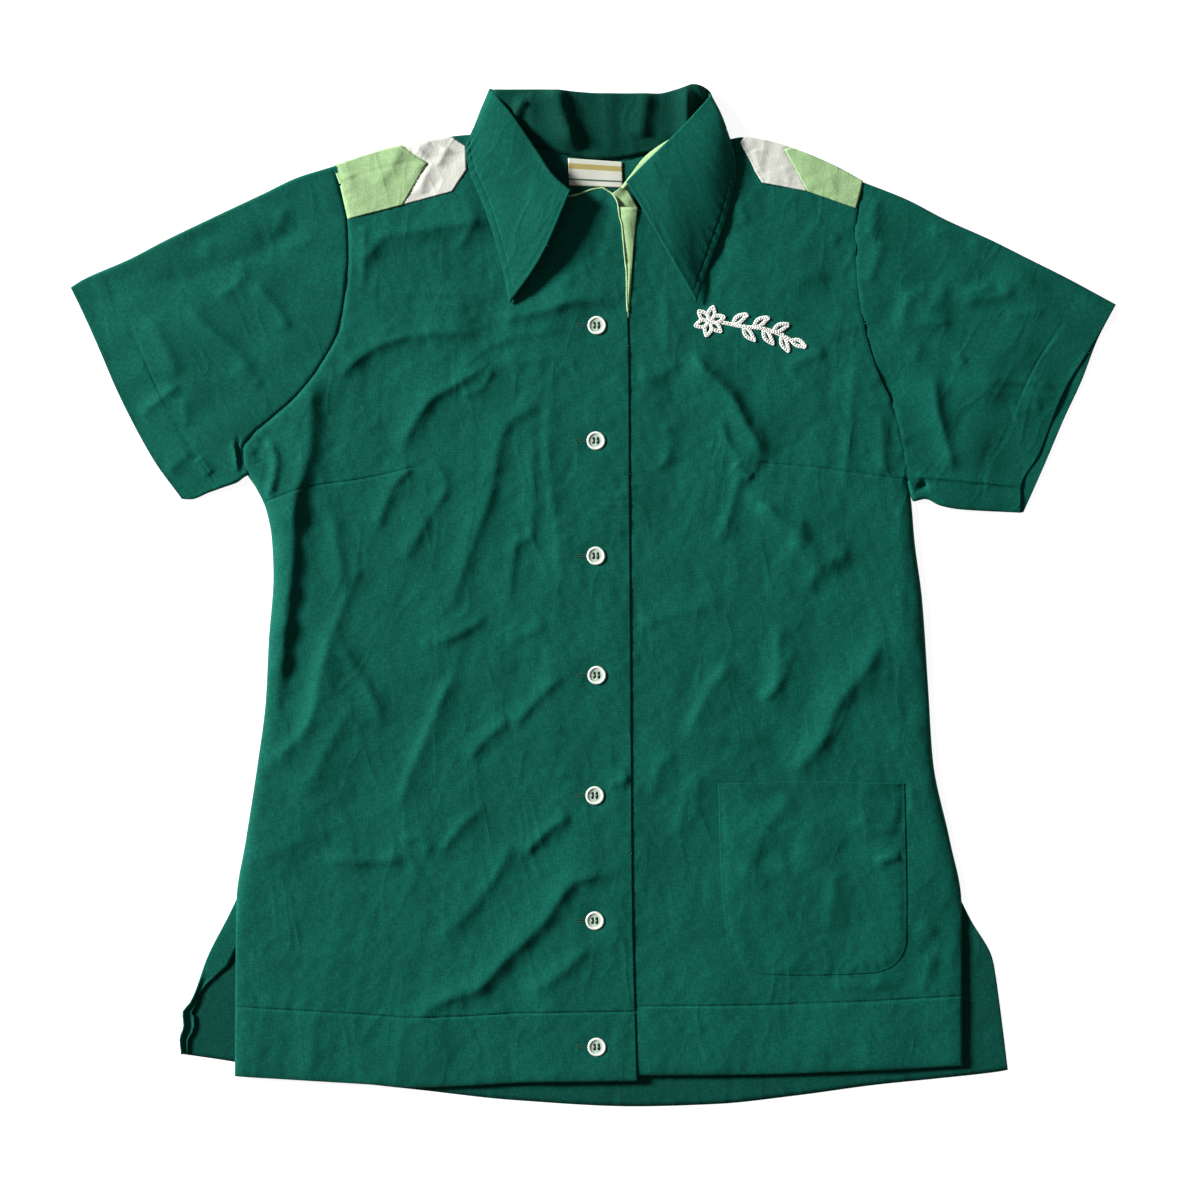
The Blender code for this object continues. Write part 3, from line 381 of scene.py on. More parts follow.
def poplin(name, low, middle, high, slub=0.8):
    """Plain-woven polyester and cotton poplin, piece-dyed: fine warp and weft slubs that darken or
    lighten single threads, a slow cloudiness from wear, and a dull, dry surface with a little sheen.

    Threads lie 0.35 mm apart, too fine to show, so slubs are drawn about 1 mm wide and 4 mm long.
    `slub` is how much they change the colour, from `low` through `middle` to `high`.
    """
    made, shader = new_material(name)
    tree = made.node_tree
    place = add(tree, "UVMap", uv_map="cloth").outputs["UV"]
    threads = []
    for scale in ((1 / 0.001, 1 / 0.004, 1.0), (1 / 0.004, 1 / 0.001, 1.0)):
        lie = add(tree, "Mapping", {"Vector": place, "Scale": scale})
        slubs = add(tree, "TexNoise", {"Vector": lie.outputs["Vector"], "Scale": 1.0, "Detail": 2.0},
                    noise_dimensions="2D")
        threads.append(slubs.outputs["Fac"])
    weave = add(tree, "Math", {0: threads[0], 1: threads[1]}, operation="ADD").outputs[0]
    cloud = add(tree, "TexNoise", {"Vector": place, "Scale": 1 / 0.045, "Detail": 3.0},
                noise_dimensions="2D").outputs["Fac"]
    tone = add(tree, "Math", {0: weave, 1: slub, 2: 0.5 - slub}, operation="MULTIPLY_ADD").outputs[0]
    tone = add(tree, "Math", {0: cloud, 1: 0.35, 2: tone}, operation="MULTIPLY_ADD").outputs[0]
    tone = add(tree, "Math", {0: tone, 1: 0.175}, operation="SUBTRACT").outputs[0]
    ramp = add(tree, "ValToRGB", {"Fac": tone})
    ramp.color_ramp.elements[0].position = 0.2
    ramp.color_ramp.elements[0].color = linear(low)
    ramp.color_ramp.elements[1].position = 0.8
    ramp.color_ramp.elements[1].color = linear(high)
    ramp.color_ramp.elements.new(0.5).color = linear(middle)
    tree.links.new(ramp.outputs["Color"], shader.inputs["Base Color"])
    lie = add(tree, "Mapping", {"Vector": place, "Scale": (1 / 0.020, 1 / 0.040, 1.0)})
    wrinkles = add(tree, "TexNoise", {"Vector": lie.outputs["Vector"], "Scale": 1.0, "Detail": 1.5,
                                      "Roughness": 0.4, "Distortion": 0.5}, noise_dimensions="2D")
    ridge = add(tree, "Math", {0: wrinkles.outputs["Fac"], 1: 0.5}, operation="SUBTRACT").outputs[0]
    ridge = add(tree, "Math", {0: ridge}, operation="ABSOLUTE").outputs[0]
    broad = add(tree, "Bump", {"Height": ridge, "Distance": 0.0011, "Strength": 1.0}, invert=True)
    fine = add(tree, "TexNoise", {"Vector": place, "Scale": 1 / 0.0014, "Detail": 2.0},
               noise_dimensions="2D").outputs["Fac"]
    relief = add(tree, "Math", {0: fine, 1: 1.6, 2: weave}, operation="MULTIPLY_ADD").outputs[0]
    bump = add(tree, "Bump", {"Height": relief, "Distance": 0.00009, "Strength": 0.5,
                              "Normal": broad.outputs["Normal"]})
    tree.links.new(bump.outputs["Normal"], shader.inputs["Normal"])
    shader.inputs["Roughness"].default_value = 0.78
    shader.inputs["Specular IOR Level"].default_value = 0.06
    shader.inputs["Sheen Weight"].default_value = 0.02
    shader.inputs["Sheen Roughness"].default_value = 0.5
    return made


dark_poplin = poplin("poplin_dark_green", "054a3c", "075346", "0d5e50")
inside_poplin = poplin("poplin_dark_green_wrong_side", "043e33", "06463b", "0a5044")

shoulder_radius = (FRONT_Z - YOKE_Z) / 2
fold_at = graded(0.100, [0.0])
folds_in_plan = {"right": along(RIGHT_FOLD, fold_at), "left": along(LEFT_FOLD, fold_at)}
tops, strips = {}, []
for side, seam in (("right", RIGHT_SHOULDER), ("left", LEFT_SHOULDER)):
    inward = inward_of(folds_in_plan[side], (0.0, 0.0))
    tops[side] = folds_in_plan[side] + inward * shoulder_radius
    strips.append(turned_over(folds_in_plan[side], inward, YOKE_Z, FRONT_Z, along(seam, fold_at)))

vent_at = np.linspace(0.0, 1.0, 36)
vent = along(RIGHT_VENT, vent_at)
inward = inward_of(vent, (0.0, -0.250))
vent_foot = vent + inward * (VENT_Z - BACK_Z) / 2
heights, widths = np.array(VENT_TURN).T
width = np.interp(vent[:, 1], heights, widths)[:, None]
strip = turned_over(vent, inward, BACK_Z, VENT_Z, vent_foot + inward * width)
curl = np.concatenate([
    VENT_CURL * ease(np.arange(ARC_ROWS), 0, ARC_ROWS - 1),
    VENT_CURL - VENT_SAG * np.sin(math.pi * np.arange(1, LEVEL_ROWS + 1) / (LEVEL_ROWS + 1)),
])
strip[..., 2] += (1 - ease(vent[:, 1], *VENT_OPEN)) * curl[:, None]
strips.append(strip)

u = np.concatenate([
    fold_at * SHOULDER_END,
    np.linspace(SHOULDER_END, SHOULDER_START, NECK_COLUMNS)[1:],
    SHOULDER_START + (1 - fold_at[::-1])[1:] * (1 - SHOULDER_START),
])
v = np.concatenate([
    vent_at * SIDE_END,
    np.linspace(SIDE_END, ARM_START, 72)[1:],
    np.linspace(ARM_START, ARM_END, 66)[1:],
    [1.0],
])
plan = patch(
    along([vent_foot[0], *BACK_HEM[1:]], u),
    np.concatenate([tops["right"], along(BACK_NECK, np.linspace(0.0, 1.0, NECK_COLUMNS))[1:],
                    tops["left"][::-1][1:]]),
    joined([(SIDE_END, vent_foot), (ARM_START, [vent_foot[-1], *RIGHT_SIDE[2:]]),
            (ARM_END, RIGHT_ARMHOLE), (1.0, [RIGHT_ARMHOLE[-1], tops["right"][0]])], v),
    joined([(SIDE_END, LEFT_VENT), (ARM_START, [LEFT_VENT[-1], *LEFT_SIDE[2:]]),
            (ARM_END, LEFT_ARMHOLE), (1.0, [LEFT_ARMHOLE[-1], tops["left"][0]])], v),
    u, v,
)
rise = (YOKE_Z - BACK_Z) * ease(plan[..., 1], YOKE_START, YOKE_FULL)
calm = 1 - ease(plan[..., 1], CALM_START, YOKE_START)
height = BACK_Z + rise + calm * np.maximum(creases(plan, BACK_CREASES, 11), 0.0)
main_grid = with_z(plan, height)
main_grid[:len(vent_at), 0] = strip[0]
back = cloth("back_cloth", [main_grid, *strips], dark_poplin)
back.data.materials.append(inside_poplin)
looks = np.zeros(len(back.data.polygons), int)
looks[:(len(v) - 1) * (len(u) - 1)] = 1  # all but the turned-over strips shows its wrong side
back.data.polygons.foreach_set("material_index", looks)
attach(back, "root")
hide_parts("back")

# ---------------------------------------------------------------------------------------------------
# Fronts. Two pieces of the same poplin, each with a bust dart from its side seam and a hem turned up
# twice and stitched. The right one laps over the left, and both are pressed, worn and creased.
# ---------------------------------------------------------------------------------------------------
LAP = 0.0006  # rise of the right front where it lies on the left one
LAP_START, LAP_FULL = -0.045, -0.022
UNDER_START, UNDER_END = 0.027, 0.034  # where the left front comes out from below the right one
SEAM_Z = 0.0012  # middle of a front where the side seam and the hem bring it down onto the back
VENT_RISE, VENT_TOP = 0.0018, (-0.215, -0.190)  # how much higher its side lies below the vents' tops
SIDE_ROUND, HEM_ROUND = 0.009, 0.005
HEM_DEPTH = 0.045
HEM_PULL, CUFF_PULL = 0.0008, 0.0003  # how deep a row of stitches lies in the hem, and in the cuffs
RIGHT_PULL, LEFT_PULL = 0.0009, 0.0003  # the same for the seams of the two armholes
BAND = 0.012  # width of the smooth cloth along the right front's edge
FRONT_STEP = 0.0022
FRONT_WIDTH, ARMHOLE_LENGTH = 0.262, 0.225
SIDE_SHARE, SHOULDER_SHARE = 16 / 28, 8 / 19  # what the side and the shoulder take of a front's edges
DART_ROWS = np.arange(0.375, 0.405, 0.003)  # where the darts start, up the side and the armhole

RIGHT_NECK = [
    (-0.077, 0.287), (-0.067, 0.277), (-0.047, 0.264), (-0.028, 0.258), (-0.0118, 0.2594),
    (-0.0058, 0.2612), (0.0007, 0.2633), (0.0067, 0.2642),
]
RIGHT_EDGE_LOW = [(0.029, -0.315), (0.026, -0.198), (0.025, -0.068), (0.024, 0.070)]
RIGHT_EDGE_HIGH = [
    (0.024, 0.07), (0.0237, 0.14), (0.0227, 0.1837), (0.0221, 0.193), (0.0219, 0.2088),
    (0.0207, 0.2199), (0.0198, 0.2301), (0.0189, 0.2404), (0.0175, 0.245), (0.0161, 0.2543),
    (0.0133, 0.2597), (0.0067, 0.2642),
]
RIGHT_HEM = [
    (-0.232, -0.312), (-0.148, -0.317), (-0.115, -0.319), (-0.081, -0.318), (-0.043, -0.316),
    (0.029, -0.315),
]
LEFT_NECK = [
    (0.091, 0.287), (0.08, 0.271), (0.063, 0.26), (0.044, 0.252), (0.028, 0.25), (0.005, 0.254),
    (-0.017, 0.254),
]
LEFT_EDGE = [(-0.017, -0.311), (-0.017, 0.074), (-0.017, 0.254)]
LEFT_HEM = [(0.240, -0.305), (0.186, -0.308), (0.100, -0.311), (0.030, -0.3115), (-0.017, -0.311)]
RIGHT_DART = [(-0.2116, 0.0608), (-0.183, 0.0705), (-0.1485, 0.0757), (-0.1167, 0.0829)]
LEFT_DART = [(0.205, 0.075), (0.1388, 0.0835), (0.1108, 0.0861), (0.0952, 0.0900)]
BUTTON_PLACES = [
    (0.0029, 0.1752), (0.0023, 0.1004), (0.0023, 0.0257), (0.0029, -0.0517), (0.0016, -0.1297),
    (0.0016, -0.2109), (0.0029, -0.2928),
]
BUTTON_DIMPLE, DIMPLE_RADIUS = 0.0012, 0.0080  # how far and wide a button pulls the fronts down
BUTTON_CALM = 0.011  # creases die out this near to a button
RIGHT_CREASES = [
    (0.0035, 0.02, 0.0062, [(-0.1755, 0.148), (-0.1774, 0.127), (-0.178, 0.101), (-0.1845, 0.075),
     (-0.1885, 0.062), (-0.1895, 0.04)]),
    (0.0037, 0.018, 0.0044, [(-0.184, 0.08), (-0.1885, 0.062), (-0.19, 0.049), (-0.191, 0.023),
     (-0.1935, -0.003), (-0.1965, -0.029), (-0.1985, -0.055), (-0.201, -0.075)]),
    (0.0028, 0.0018, 0.003, [(-0.215, 0.0985), (-0.2088, 0.0935), (-0.207, 0.086), (-0.2075, 0.078),
     (-0.2095, 0.071), (-0.2105, 0.062)]),
    (-0.0016, 0.0028, 0.0022, [(-0.2195, 0.0935), (-0.2161, 0.0894), (-0.214, 0.085)]),
    (-0.001, 0.002, 0.002, [(-0.216, 0.102), (-0.212, 0.097)]),
    (0.0028, 0.012, 0.006, [(-0.1563, 0.2103), (-0.144, 0.2168), (-0.1316, 0.2291), (-0.1102, 0.2324),
     (-0.079, 0.2382), (-0.0601, 0.2402)]),
    (0.0008, 0.004, 0.0024, [(-0.1271, 0.1947), (-0.0926, 0.194), (-0.0562, 0.1921)]),
    (0.0006, 0.004, 0.0024, [(-0.1173, 0.1843), (-0.0686, 0.1875)]),
    (0.0023, 0.007, 0.004, [(-0.0666, 0.1765), (-0.0354, 0.1804), (-0.0101, 0.1882), (0.0192, 0.1875)]),
    (0.0009, 0.005, 0.0026, [(-0.0894, 0.1401), (-0.0621, 0.1615), (-0.0348, 0.1687), (-0.0101, 0.1719)]),
    (0.0023, 0.009, 0.004, [(-0.1654, 0.1349), (-0.1524, 0.1492), (-0.1355, 0.1602), (-0.1102, 0.1667),
     (-0.0809, 0.168), (-0.0666, 0.1745)]),
    (0.0025, 0.007, 0.0042, [(-0.1232, 0.0868), (-0.1128, 0.1108), (-0.1017, 0.1258), (-0.09, 0.1329),
     (-0.076, 0.141), (-0.0617, 0.1515)]),
    (0.0015, 0.005, 0.003, [(-0.0861, 0.1271), (-0.0705, 0.1323), (-0.0614, 0.1505)]),
    (0.0009, 0.006, 0.004, [(-0.0582, 0.1485), (-0.0263, 0.1511)]),
    (0.0014, 0.006, 0.003, [(-0.1225, 0.0172), (-0.1063, 0.0465), (-0.0926, 0.0712), (-0.1024, 0.0913)]),
    (0.002, 0.007, 0.0035, [(-0.1381, 0.0393), (-0.1271, 0.0692), (-0.1134, 0.0829)]),
    (0.0012, 0.006, 0.0035, [(-0.1667, -0.0263), (-0.1563, -0.0003), (-0.1459, 0.0198)]),
    (0.002, 0.01, 0.0045, [(-0.0913, -0.0133), (-0.0725, 0.038), (-0.0621, 0.0692), (-0.0562, 0.1024),
     (-0.0478, 0.1134), (-0.0348, 0.1219), (-0.0289, 0.1401)]),
    (0.0012, 0.003, 0.009, [(-0.0296, 0.1362), (-0.0315, 0.09), (-0.0263, 0.0484), (-0.0224, 0.0068)]),
    (0.0012, 0.005, 0.003, [(-0.0361, 0.1173), (-0.0374, 0.038), (-0.0478, 0.0309), (-0.0523, -0.0114)]),
    (0.0015, 0.007, 0.0045, [(-0.1693, 0.0692), (-0.1628, 0.038), (-0.1589, -0.0016)]),
    (0.0017, 0.006, 0.0035, [(-0.1037, -0.0354), (-0.0725, -0.0192), (-0.0666, -0.0127)]),
    (0.001, 0.005, 0.0035, [(-0.0569, -0.0341), (-0.0263, -0.0205)]),
    (0.003, 0.006, 0.012, [(-0.2174, -0.1102), (-0.1966, -0.0926), (-0.1856, -0.0764), (-0.181, -0.0536),
     (-0.1739, -0.0257), (-0.168, -0.0094)]),
    (0.0014, 0.008, 0.008, [(-0.1973, -0.1277), (-0.183, -0.1089), (-0.1739, -0.0907),
     (-0.1563, -0.0614)]),
    (0.0015, 0.006, 0.004, [(-0.1635, -0.0263), (-0.1505, -0.0465), (-0.1381, -0.0699),
     (-0.1336, -0.0861)]),
    (0.0017, 0.0035, 0.006, [(-0.1284, -0.1407), (-0.1206, -0.1134), (-0.1115, -0.0926),
     (-0.1017, -0.0692), (-0.0881, -0.0419)]),
    (0.0017, 0.006, 0.0032, [(-0.0809, -0.1089), (-0.0653, -0.0926), (-0.051, -0.0809)]),
    (0.0017, 0.006, 0.0032, [(-0.0504, -0.0874), (-0.0328, -0.0673), (-0.0172, -0.0523)]),
    (0.0023, 0.005, 0.004, [(-0.1758, -0.1732), (-0.144, -0.1752), (-0.1186, -0.1726)]),
    (0.0024, 0.007, 0.0036, [(-0.0445, -0.1719), (-0.0283, -0.155), (-0.0107, -0.1427)]),
    (0.0016, 0.008, 0.005, [(-0.0978, -0.2252), (-0.0718, -0.2012), (-0.0582, -0.1804),
     (-0.0458, -0.1583)]),
    (0.003, 0.009, 0.005, [(-0.1173, -0.2863), (-0.1017, -0.2688), (-0.0718, -0.2571), (-0.0582, -0.2428),
     (-0.0283, -0.2129), (-0.0075, -0.1875), (0.0263, -0.1823)]),
    (0.0015, 0.006, 0.005, [(-0.0413, -0.2629), (-0.0192, -0.248), (0.0029, -0.2278)]),
    (0.0009, 0.007, 0.007, [(-0.1862, -0.2662), (-0.1875, -0.3123)]),
    (0.001, 0.008, 0.007, [(-0.1173, -0.2629), (-0.1225, -0.3175)]),
    (0.0008, 0.008, 0.006, [(-0.22, -0.1758), (-0.1947, -0.1667), (-0.1713, -0.155)]),
    (0.0014, 0.004, 0.003, [(-0.1258, -0.1609), (-0.1134, -0.1596), (-0.1056, -0.17)]),
    (0.0014, 0.0028, 0.005, [(-0.1024, -0.1674), (-0.0874, -0.1485), (-0.0712, -0.1336)]),
    (0.0009, 0.005, 0.003, [(-0.0237, -0.1147), (-0.0068, -0.1206)]),
    (0.0015, 0.004, 0.003, [(0.0101, -0.1258), (0.0257, -0.1199)]),
    (0.0008, 0.008, 0.007, [(-0.2259, -0.2447), (-0.1836, -0.2389), (-0.1576, -0.2408)]),
    (0.0008, 0.003, 0.0024, [(-0.1459, 0.2428), (-0.1472, 0.1947)]),
    (0.0009, 0.0026, 0.004, [(-0.0757, 0.248), (-0.0894, 0.2246)]),
]
LEFT_CREASES = [
    (0.0037, 0.009, 0.005, [(0.0647, 0.1622), (0.0757, 0.1485), (0.0926, 0.1316), (0.1011, 0.1154),
     (0.1089, 0.1024), (0.116, 0.0868)]),
    (0.0015, 0.005, 0.003, [(0.0829, 0.1186), (0.09, 0.1004), (0.0965, 0.092), (0.1141, 0.0874)]),
    (0.0014, 0.007, 0.005, [(0.0263, 0.1381), (0.038, 0.1375), (0.0595, 0.1492)]),
    (0.0008, 0.003, 0.006, [(0.0452, 0.1986), (0.0465, 0.1557)]),
    (0.0008, 0.003, 0.006, [(0.0465, 0.1154), (0.0458, 0.0829)]),
    (0.0006, 0.004, 0.003, [(0.0419, 0.0777), (0.053, 0.0926)]),
    (0.0014, 0.003, 0.006, [(0.0946, 0.0835), (0.0842, 0.0484), (0.077, 0.0341)]),
    (0.0015, 0.004, 0.003, [(0.0926, 0.0874), (0.1056, 0.077)]),
    (0.0026, 0.005, 0.006, [(0.0959, 0.066), (0.1219, 0.0439), (0.1414, 0.0309)]),
    (0.0016, 0.005, 0.004, [(0.1102, 0.064), (0.1238, 0.0523), (0.1414, 0.0478)]),
    (0.0028, 0.009, 0.006, [(0.1219, 0.0322), (0.1511, 0.0172), (0.1732, 0.0283)]),
    (0.0014, 0.005, 0.004, [(0.1394, 0.001), (0.1518, 0.0172)]),
    (0.0012, 0.009, 0.007, [(0.0263, -0.0263), (0.0549, -0.0166), (0.0907, -0.0101)]),
    (0.0014, 0.009, 0.007, [(0.0842, 0.2233), (0.1134, 0.207), (0.1563, 0.1986)]),
    (0.0014, 0.006, 0.005, [(0.1264, 0.1427), (0.1407, 0.1511), (0.1544, 0.155)]),
    (0.0012, 0.004, 0.008, [(0.1687, 0.1628), (0.1635, 0.1108), (0.1609, 0.0588)]),
    (0.0014, 0.006, 0.004, [(0.1895, 0.1206), (0.1927, 0.0764)]),
    (0.0008, 0.004, 0.003, [(0.0965, 0.2577), (0.1017, 0.2408)]),
    (0.001, 0.006, 0.005, [(0.1407, 0.2447), (0.1635, 0.2324)]),
    (0.0019, 0.003, 0.014, [(0.0569, -0.0946), (0.0744, -0.0588), (0.0894, -0.0387)]),
    (0.001, 0.007, 0.005, [(0.0588, -0.0933), (0.0894, -0.0952), (0.1167, -0.0978)]),
    (0.003, 0.01, 0.006, [(0.1238, -0.1225), (0.1414, -0.1095), (0.155, -0.0926), (0.1641, -0.0699),
     (0.1804, -0.051), (0.1953, -0.0224)]),
    (0.0014, 0.0035, 0.006, [(0.1069, -0.0699), (0.1167, -0.0549), (0.1186, -0.0159)]),
    (0.001, 0.005, 0.0035, [(0.1069, -0.0718), (0.1212, -0.0614), (0.1349, -0.0289)]),
    (0.0014, 0.004, 0.007, [(0.0354, -0.1297), (0.0406, -0.1089), (0.0543, -0.0978)]),
    (0.0008, 0.003, 0.005, [(0.0634, -0.1459), (0.0666, -0.1134)]),
    (0.0009, 0.004, 0.003, [(0.0556, -0.1602), (0.0647, -0.1212)]),
    (0.0016, 0.008, 0.009, [(0.0972, -0.1654), (0.1128, -0.1407), (0.1277, -0.1245)]),
    (0.0016, 0.006, 0.008, [(0.1466, -0.2187), (0.1518, -0.1947), (0.1544, -0.1739)]),
    (0.0014, 0.009, 0.008, [(0.0894, -0.1784), (0.1121, -0.1882), (0.1316, -0.1784)]),
    (0.0017, 0.004, 0.003, [(0.1843, -0.1745), (0.2005, -0.1706)]),
    (0.001, 0.007, 0.005, [(0.1674, -0.1446), (0.1791, -0.1544), (0.1999, -0.1563)]),
    (0.0012, 0.005, 0.004, [(0.1531, -0.2571), (0.1966, -0.2545)]),
    (0.0012, 0.004, 0.0026, [(0.2226, -0.233), (0.2155, -0.2603)]),
    (0.0009, 0.004, 0.003, [(0.2077, -0.1232), (0.2129, -0.1427)]),
    (0.0012, 0.005, 0.004, [(0.2142, -0.2096), (0.2246, -0.2187)]),
    (0.0008, 0.008, 0.006, [(0.1771, -0.2759), (0.1869, -0.3071)]),
    (0.0008, 0.007, 0.006, [(0.0991, -0.2759), (0.0972, -0.311)]),
]


def seamed(plan, line, seed):
    """Height of the cloth beside an armhole's seam: pulled down along it, with puckers across it."""
    gap, here, _ = nearest_on(plan, line)
    pull = RIGHT_PULL if line[0][0] < 0 else LEFT_PULL
    return groove(gap, pull, 0.0014) + puckers(gap, here, seed, 0.00012, 0.010, 0.014)


def turned_up(gap, depth, here, seed, pull):
    """Height of a hem `depth` wide: thicker below its row of stitches, which pulls down a line."""
    thick = 0.0002 * (1 - ease(gap, depth - 0.0012, depth))
    line = groove(gap - depth, pull, 0.0006)
    return thick + line + puckers(np.abs(gap - depth), here, seed, 0.00006, 0.004, 0.007)


def front_height(plan, side, armhole, hem, dart, table, seed):
    """Middle of a front: low along its side and hem, level elsewhere, with its creases on top."""
    beside = nearest_on(plan, side)[0]
    below, hem_run, _ = nearest_on(plan, hem)
    dart_gap, dart_run, _ = nearest_on(plan, through(dart, 8))
    rise = rounded(beside, SIDE_ROUND) * rounded(below, HEM_ROUND)
    calm = np.ones(plan.shape[:-1])
    for place in BUTTON_PLACES:
        calm *= 1 - np.exp(-((plan - place) ** 2).sum(-1) / BUTTON_CALM**2)
    folded = creases(plan, table, seed) + rumple(plan, 21, 0.00035, 0.030, 0.110)
    folded += rumple(plan, 22, 0.00009, 0.008, 0.024)
    detail = turned_up(below, HEM_DEPTH, hem_run, seed + 2, HEM_PULL)
    detail += seamed(plan, armhole, seed + 3) + groove(dart_gap, 0.0006, 0.0007)
    detail += puckers(dart_gap, dart_run, seed + 4, 0.0001, 0.004, 0.005)
    foot = SEAM_Z + VENT_RISE * (1 - ease(plan[..., 1], *VENT_TOP))
    return foot + rise * (FRONT_Z - foot + calm * folded + detail)


def front_plan(side, armhole, shoulder, neck, edge_low, edge_high, hem, column_marks):
    """Grid of a front in plan. Rows close up at the hem, its stitches and the dart."""
    side_length = runs(along(side, np.linspace(0, 1, 60)))[-1]
    length = side_length + ARMHOLE_LENGTH
    marks = [0.0, HEM_DEPTH, HEM_DEPTH + 0.002, *DART_ROWS]
    rows = graded(length, marks, 0.0025, FRONT_STEP) * length
    v = np.interp(rows, [0, side_length, length], [0, SIDE_SHARE, 1])
    u = graded(FRONT_WIDTH, column_marks, 0.005, FRONT_STEP, 0.0008)
    return patch(
        along(hem, u),
        joined([(SHOULDER_SHARE, shoulder), (1.0, neck)], u),
        joined([(SIDE_SHARE, side), (1.0, armhole)], v),
        joined([(SIDE_SHARE, edge_low), (1.0, edge_high)], v),
        u, v,
    )


side_shares = np.linspace(0.0, 1.0, 50)
right_lines = [along(line, side_shares) for line in (RIGHT_SIDE, RIGHT_ARMHOLE, RIGHT_HEM)]
left_lines = [along(line, side_shares) for line in (LEFT_SIDE, LEFT_ARMHOLE, LEFT_HEM)]
edge_line = np.concatenate([along(RIGHT_EDGE_LOW, side_shares), along(RIGHT_EDGE_HIGH, side_shares)[1:]])


def right_height(plan):
    """Middle of the right front, with puckers along its buttonhole band and a dimple at each button."""
    height = front_height(plan, *right_lines, RIGHT_DART, RIGHT_CREASES, 41)
    gap, here, _ = nearest_on(plan, edge_line)
    height += puckers(np.maximum(gap - BAND, 0.0), here, 46, 0.00006, 0.006, 0.0045)
    for place in BUTTON_PLACES:
        height -= BUTTON_DIMPLE * np.exp(-((plan - place) ** 2).sum(-1) / DIMPLE_RADIUS**2)
    return height + LAP * ease(plan[..., 0], LAP_START, LAP_FULL)


def left_height(plan):
    """Middle of the left front, which takes the right one's form where that lies on it."""
    below = 1 - ease(plan[..., 0], UNDER_START, UNDER_END)
    own = front_height(plan, *left_lines, LEFT_DART, LEFT_CREASES, 31)
    return own + below * (right_height(plan) - LAP - own)


plan = front_plan(LEFT_SIDE, LEFT_ARMHOLE, LEFT_SHOULDER, LEFT_NECK, LEFT_EDGE[:2], LEFT_EDGE[1:],
                  LEFT_HEM, [0.0, 0.211, 0.214, 0.217, 0.220, 0.223])
front_left = cloth("front_left_cloth", [with_z(plan, left_height(plan))], dark_poplin)
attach(front_left, "root")
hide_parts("front_left")

plan = front_plan(RIGHT_SIDE, RIGHT_ARMHOLE, RIGHT_SHOULDER, RIGHT_NECK, RIGHT_EDGE_LOW,
                  RIGHT_EDGE_HIGH, RIGHT_HEM, [0.0, 0.255, 0.262])
front_right = cloth("front_right_cloth", [with_z(plan, right_height(plan))], dark_poplin)
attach(front_right, "root")
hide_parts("front_right")

# ---------------------------------------------------------------------------------------------------
# Pocket. A patch of the same poplin on the left front, its lower corners rounded off and its edges
# turned in and stitched close to the edge. Its top hem stands a little off the shirt.
# ---------------------------------------------------------------------------------------------------
POCKET_INNER = [
    (0.0925, -0.2355), (0.0885, -0.2265), (0.0861, -0.2129), (0.0829, -0.1719), (0.0816, -0.1219),
]
POCKET_OUTER = [(0.2005, -0.2340), (0.2035, -0.2250), (0.2038, -0.1940), (0.2025, -0.1219)]
POCKET_BOTTOM = [
    (0.0925, -0.2355), (0.099, -0.2415), (0.1115, -0.2454), (0.1381, -0.2462), (0.1823, -0.2447),
    (0.1945, -0.2405), (0.2005, -0.234),
]
POCKET_TOP = [(0.0816, -0.1219), (0.1420, -0.1205), (0.2025, -0.1219)]
POCKET_HEM = 0.026
POCKET_WIDTH, POCKET_HEIGHT, POCKET_STEP = 0.121, 0.120, 0.0020
POCKET_SEAM = 0.0018  # from its edge to its row of stitches
POCKET_Z = 0.0004  # how far its middle lies above the front's at its edge
POCKET_PUFF = 0.0006  # how much further it stands up inside its edge
POCKET_GAPE = 0.0008  # how far its top stands off

u = graded(POCKET_WIDTH, [0.0, 0.002, 0.119, POCKET_WIDTH], 0.002, POCKET_STEP)
marks = [0.0, 0.002, POCKET_HEIGHT - POCKET_HEM, 0.119, POCKET_HEIGHT]
v = graded(POCKET_HEIGHT, marks, 0.002, POCKET_STEP)
plan = patch(along(POCKET_BOTTOM, u), along(POCKET_TOP, u), along(POCKET_INNER, v),
             along(POCKET_OUTER, v), u, v)
outline = np.concatenate([
    along(POCKET_INNER, side_shares[::-1]), along(POCKET_BOTTOM, side_shares)[1:],
    along(POCKET_OUTER, side_shares)[1:],
])
gap, here, _ = nearest_on(plan, outline)
from_top = nearest_on(plan, along(POCKET_TOP, side_shares))[0]
relief = groove(gap - POCKET_SEAM, 0.0001, 0.0007) + groove(from_top - POCKET_HEM, 0.0001, 0.0008)
relief += puckers(gap, here, 51, 0.00030, 0.005, 0.0045) + rumple(plan, 52, 0.00018, 0.02, 0.07)
height = left_height(plan) + POCKET_Z
height += ease(gap, 0.0, 0.006) * (POCKET_PUFF + np.maximum(relief, -0.0005))
height += POCKET_GAPE * ease(0.012 - from_top, 0.0, 0.012) * ease(gap, 0.0, 0.015)
pocket = cloth("pocket_cloth", [with_z(plan, height)], dark_poplin, thickness=0.0003)
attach(pocket, "root")
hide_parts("pocket")

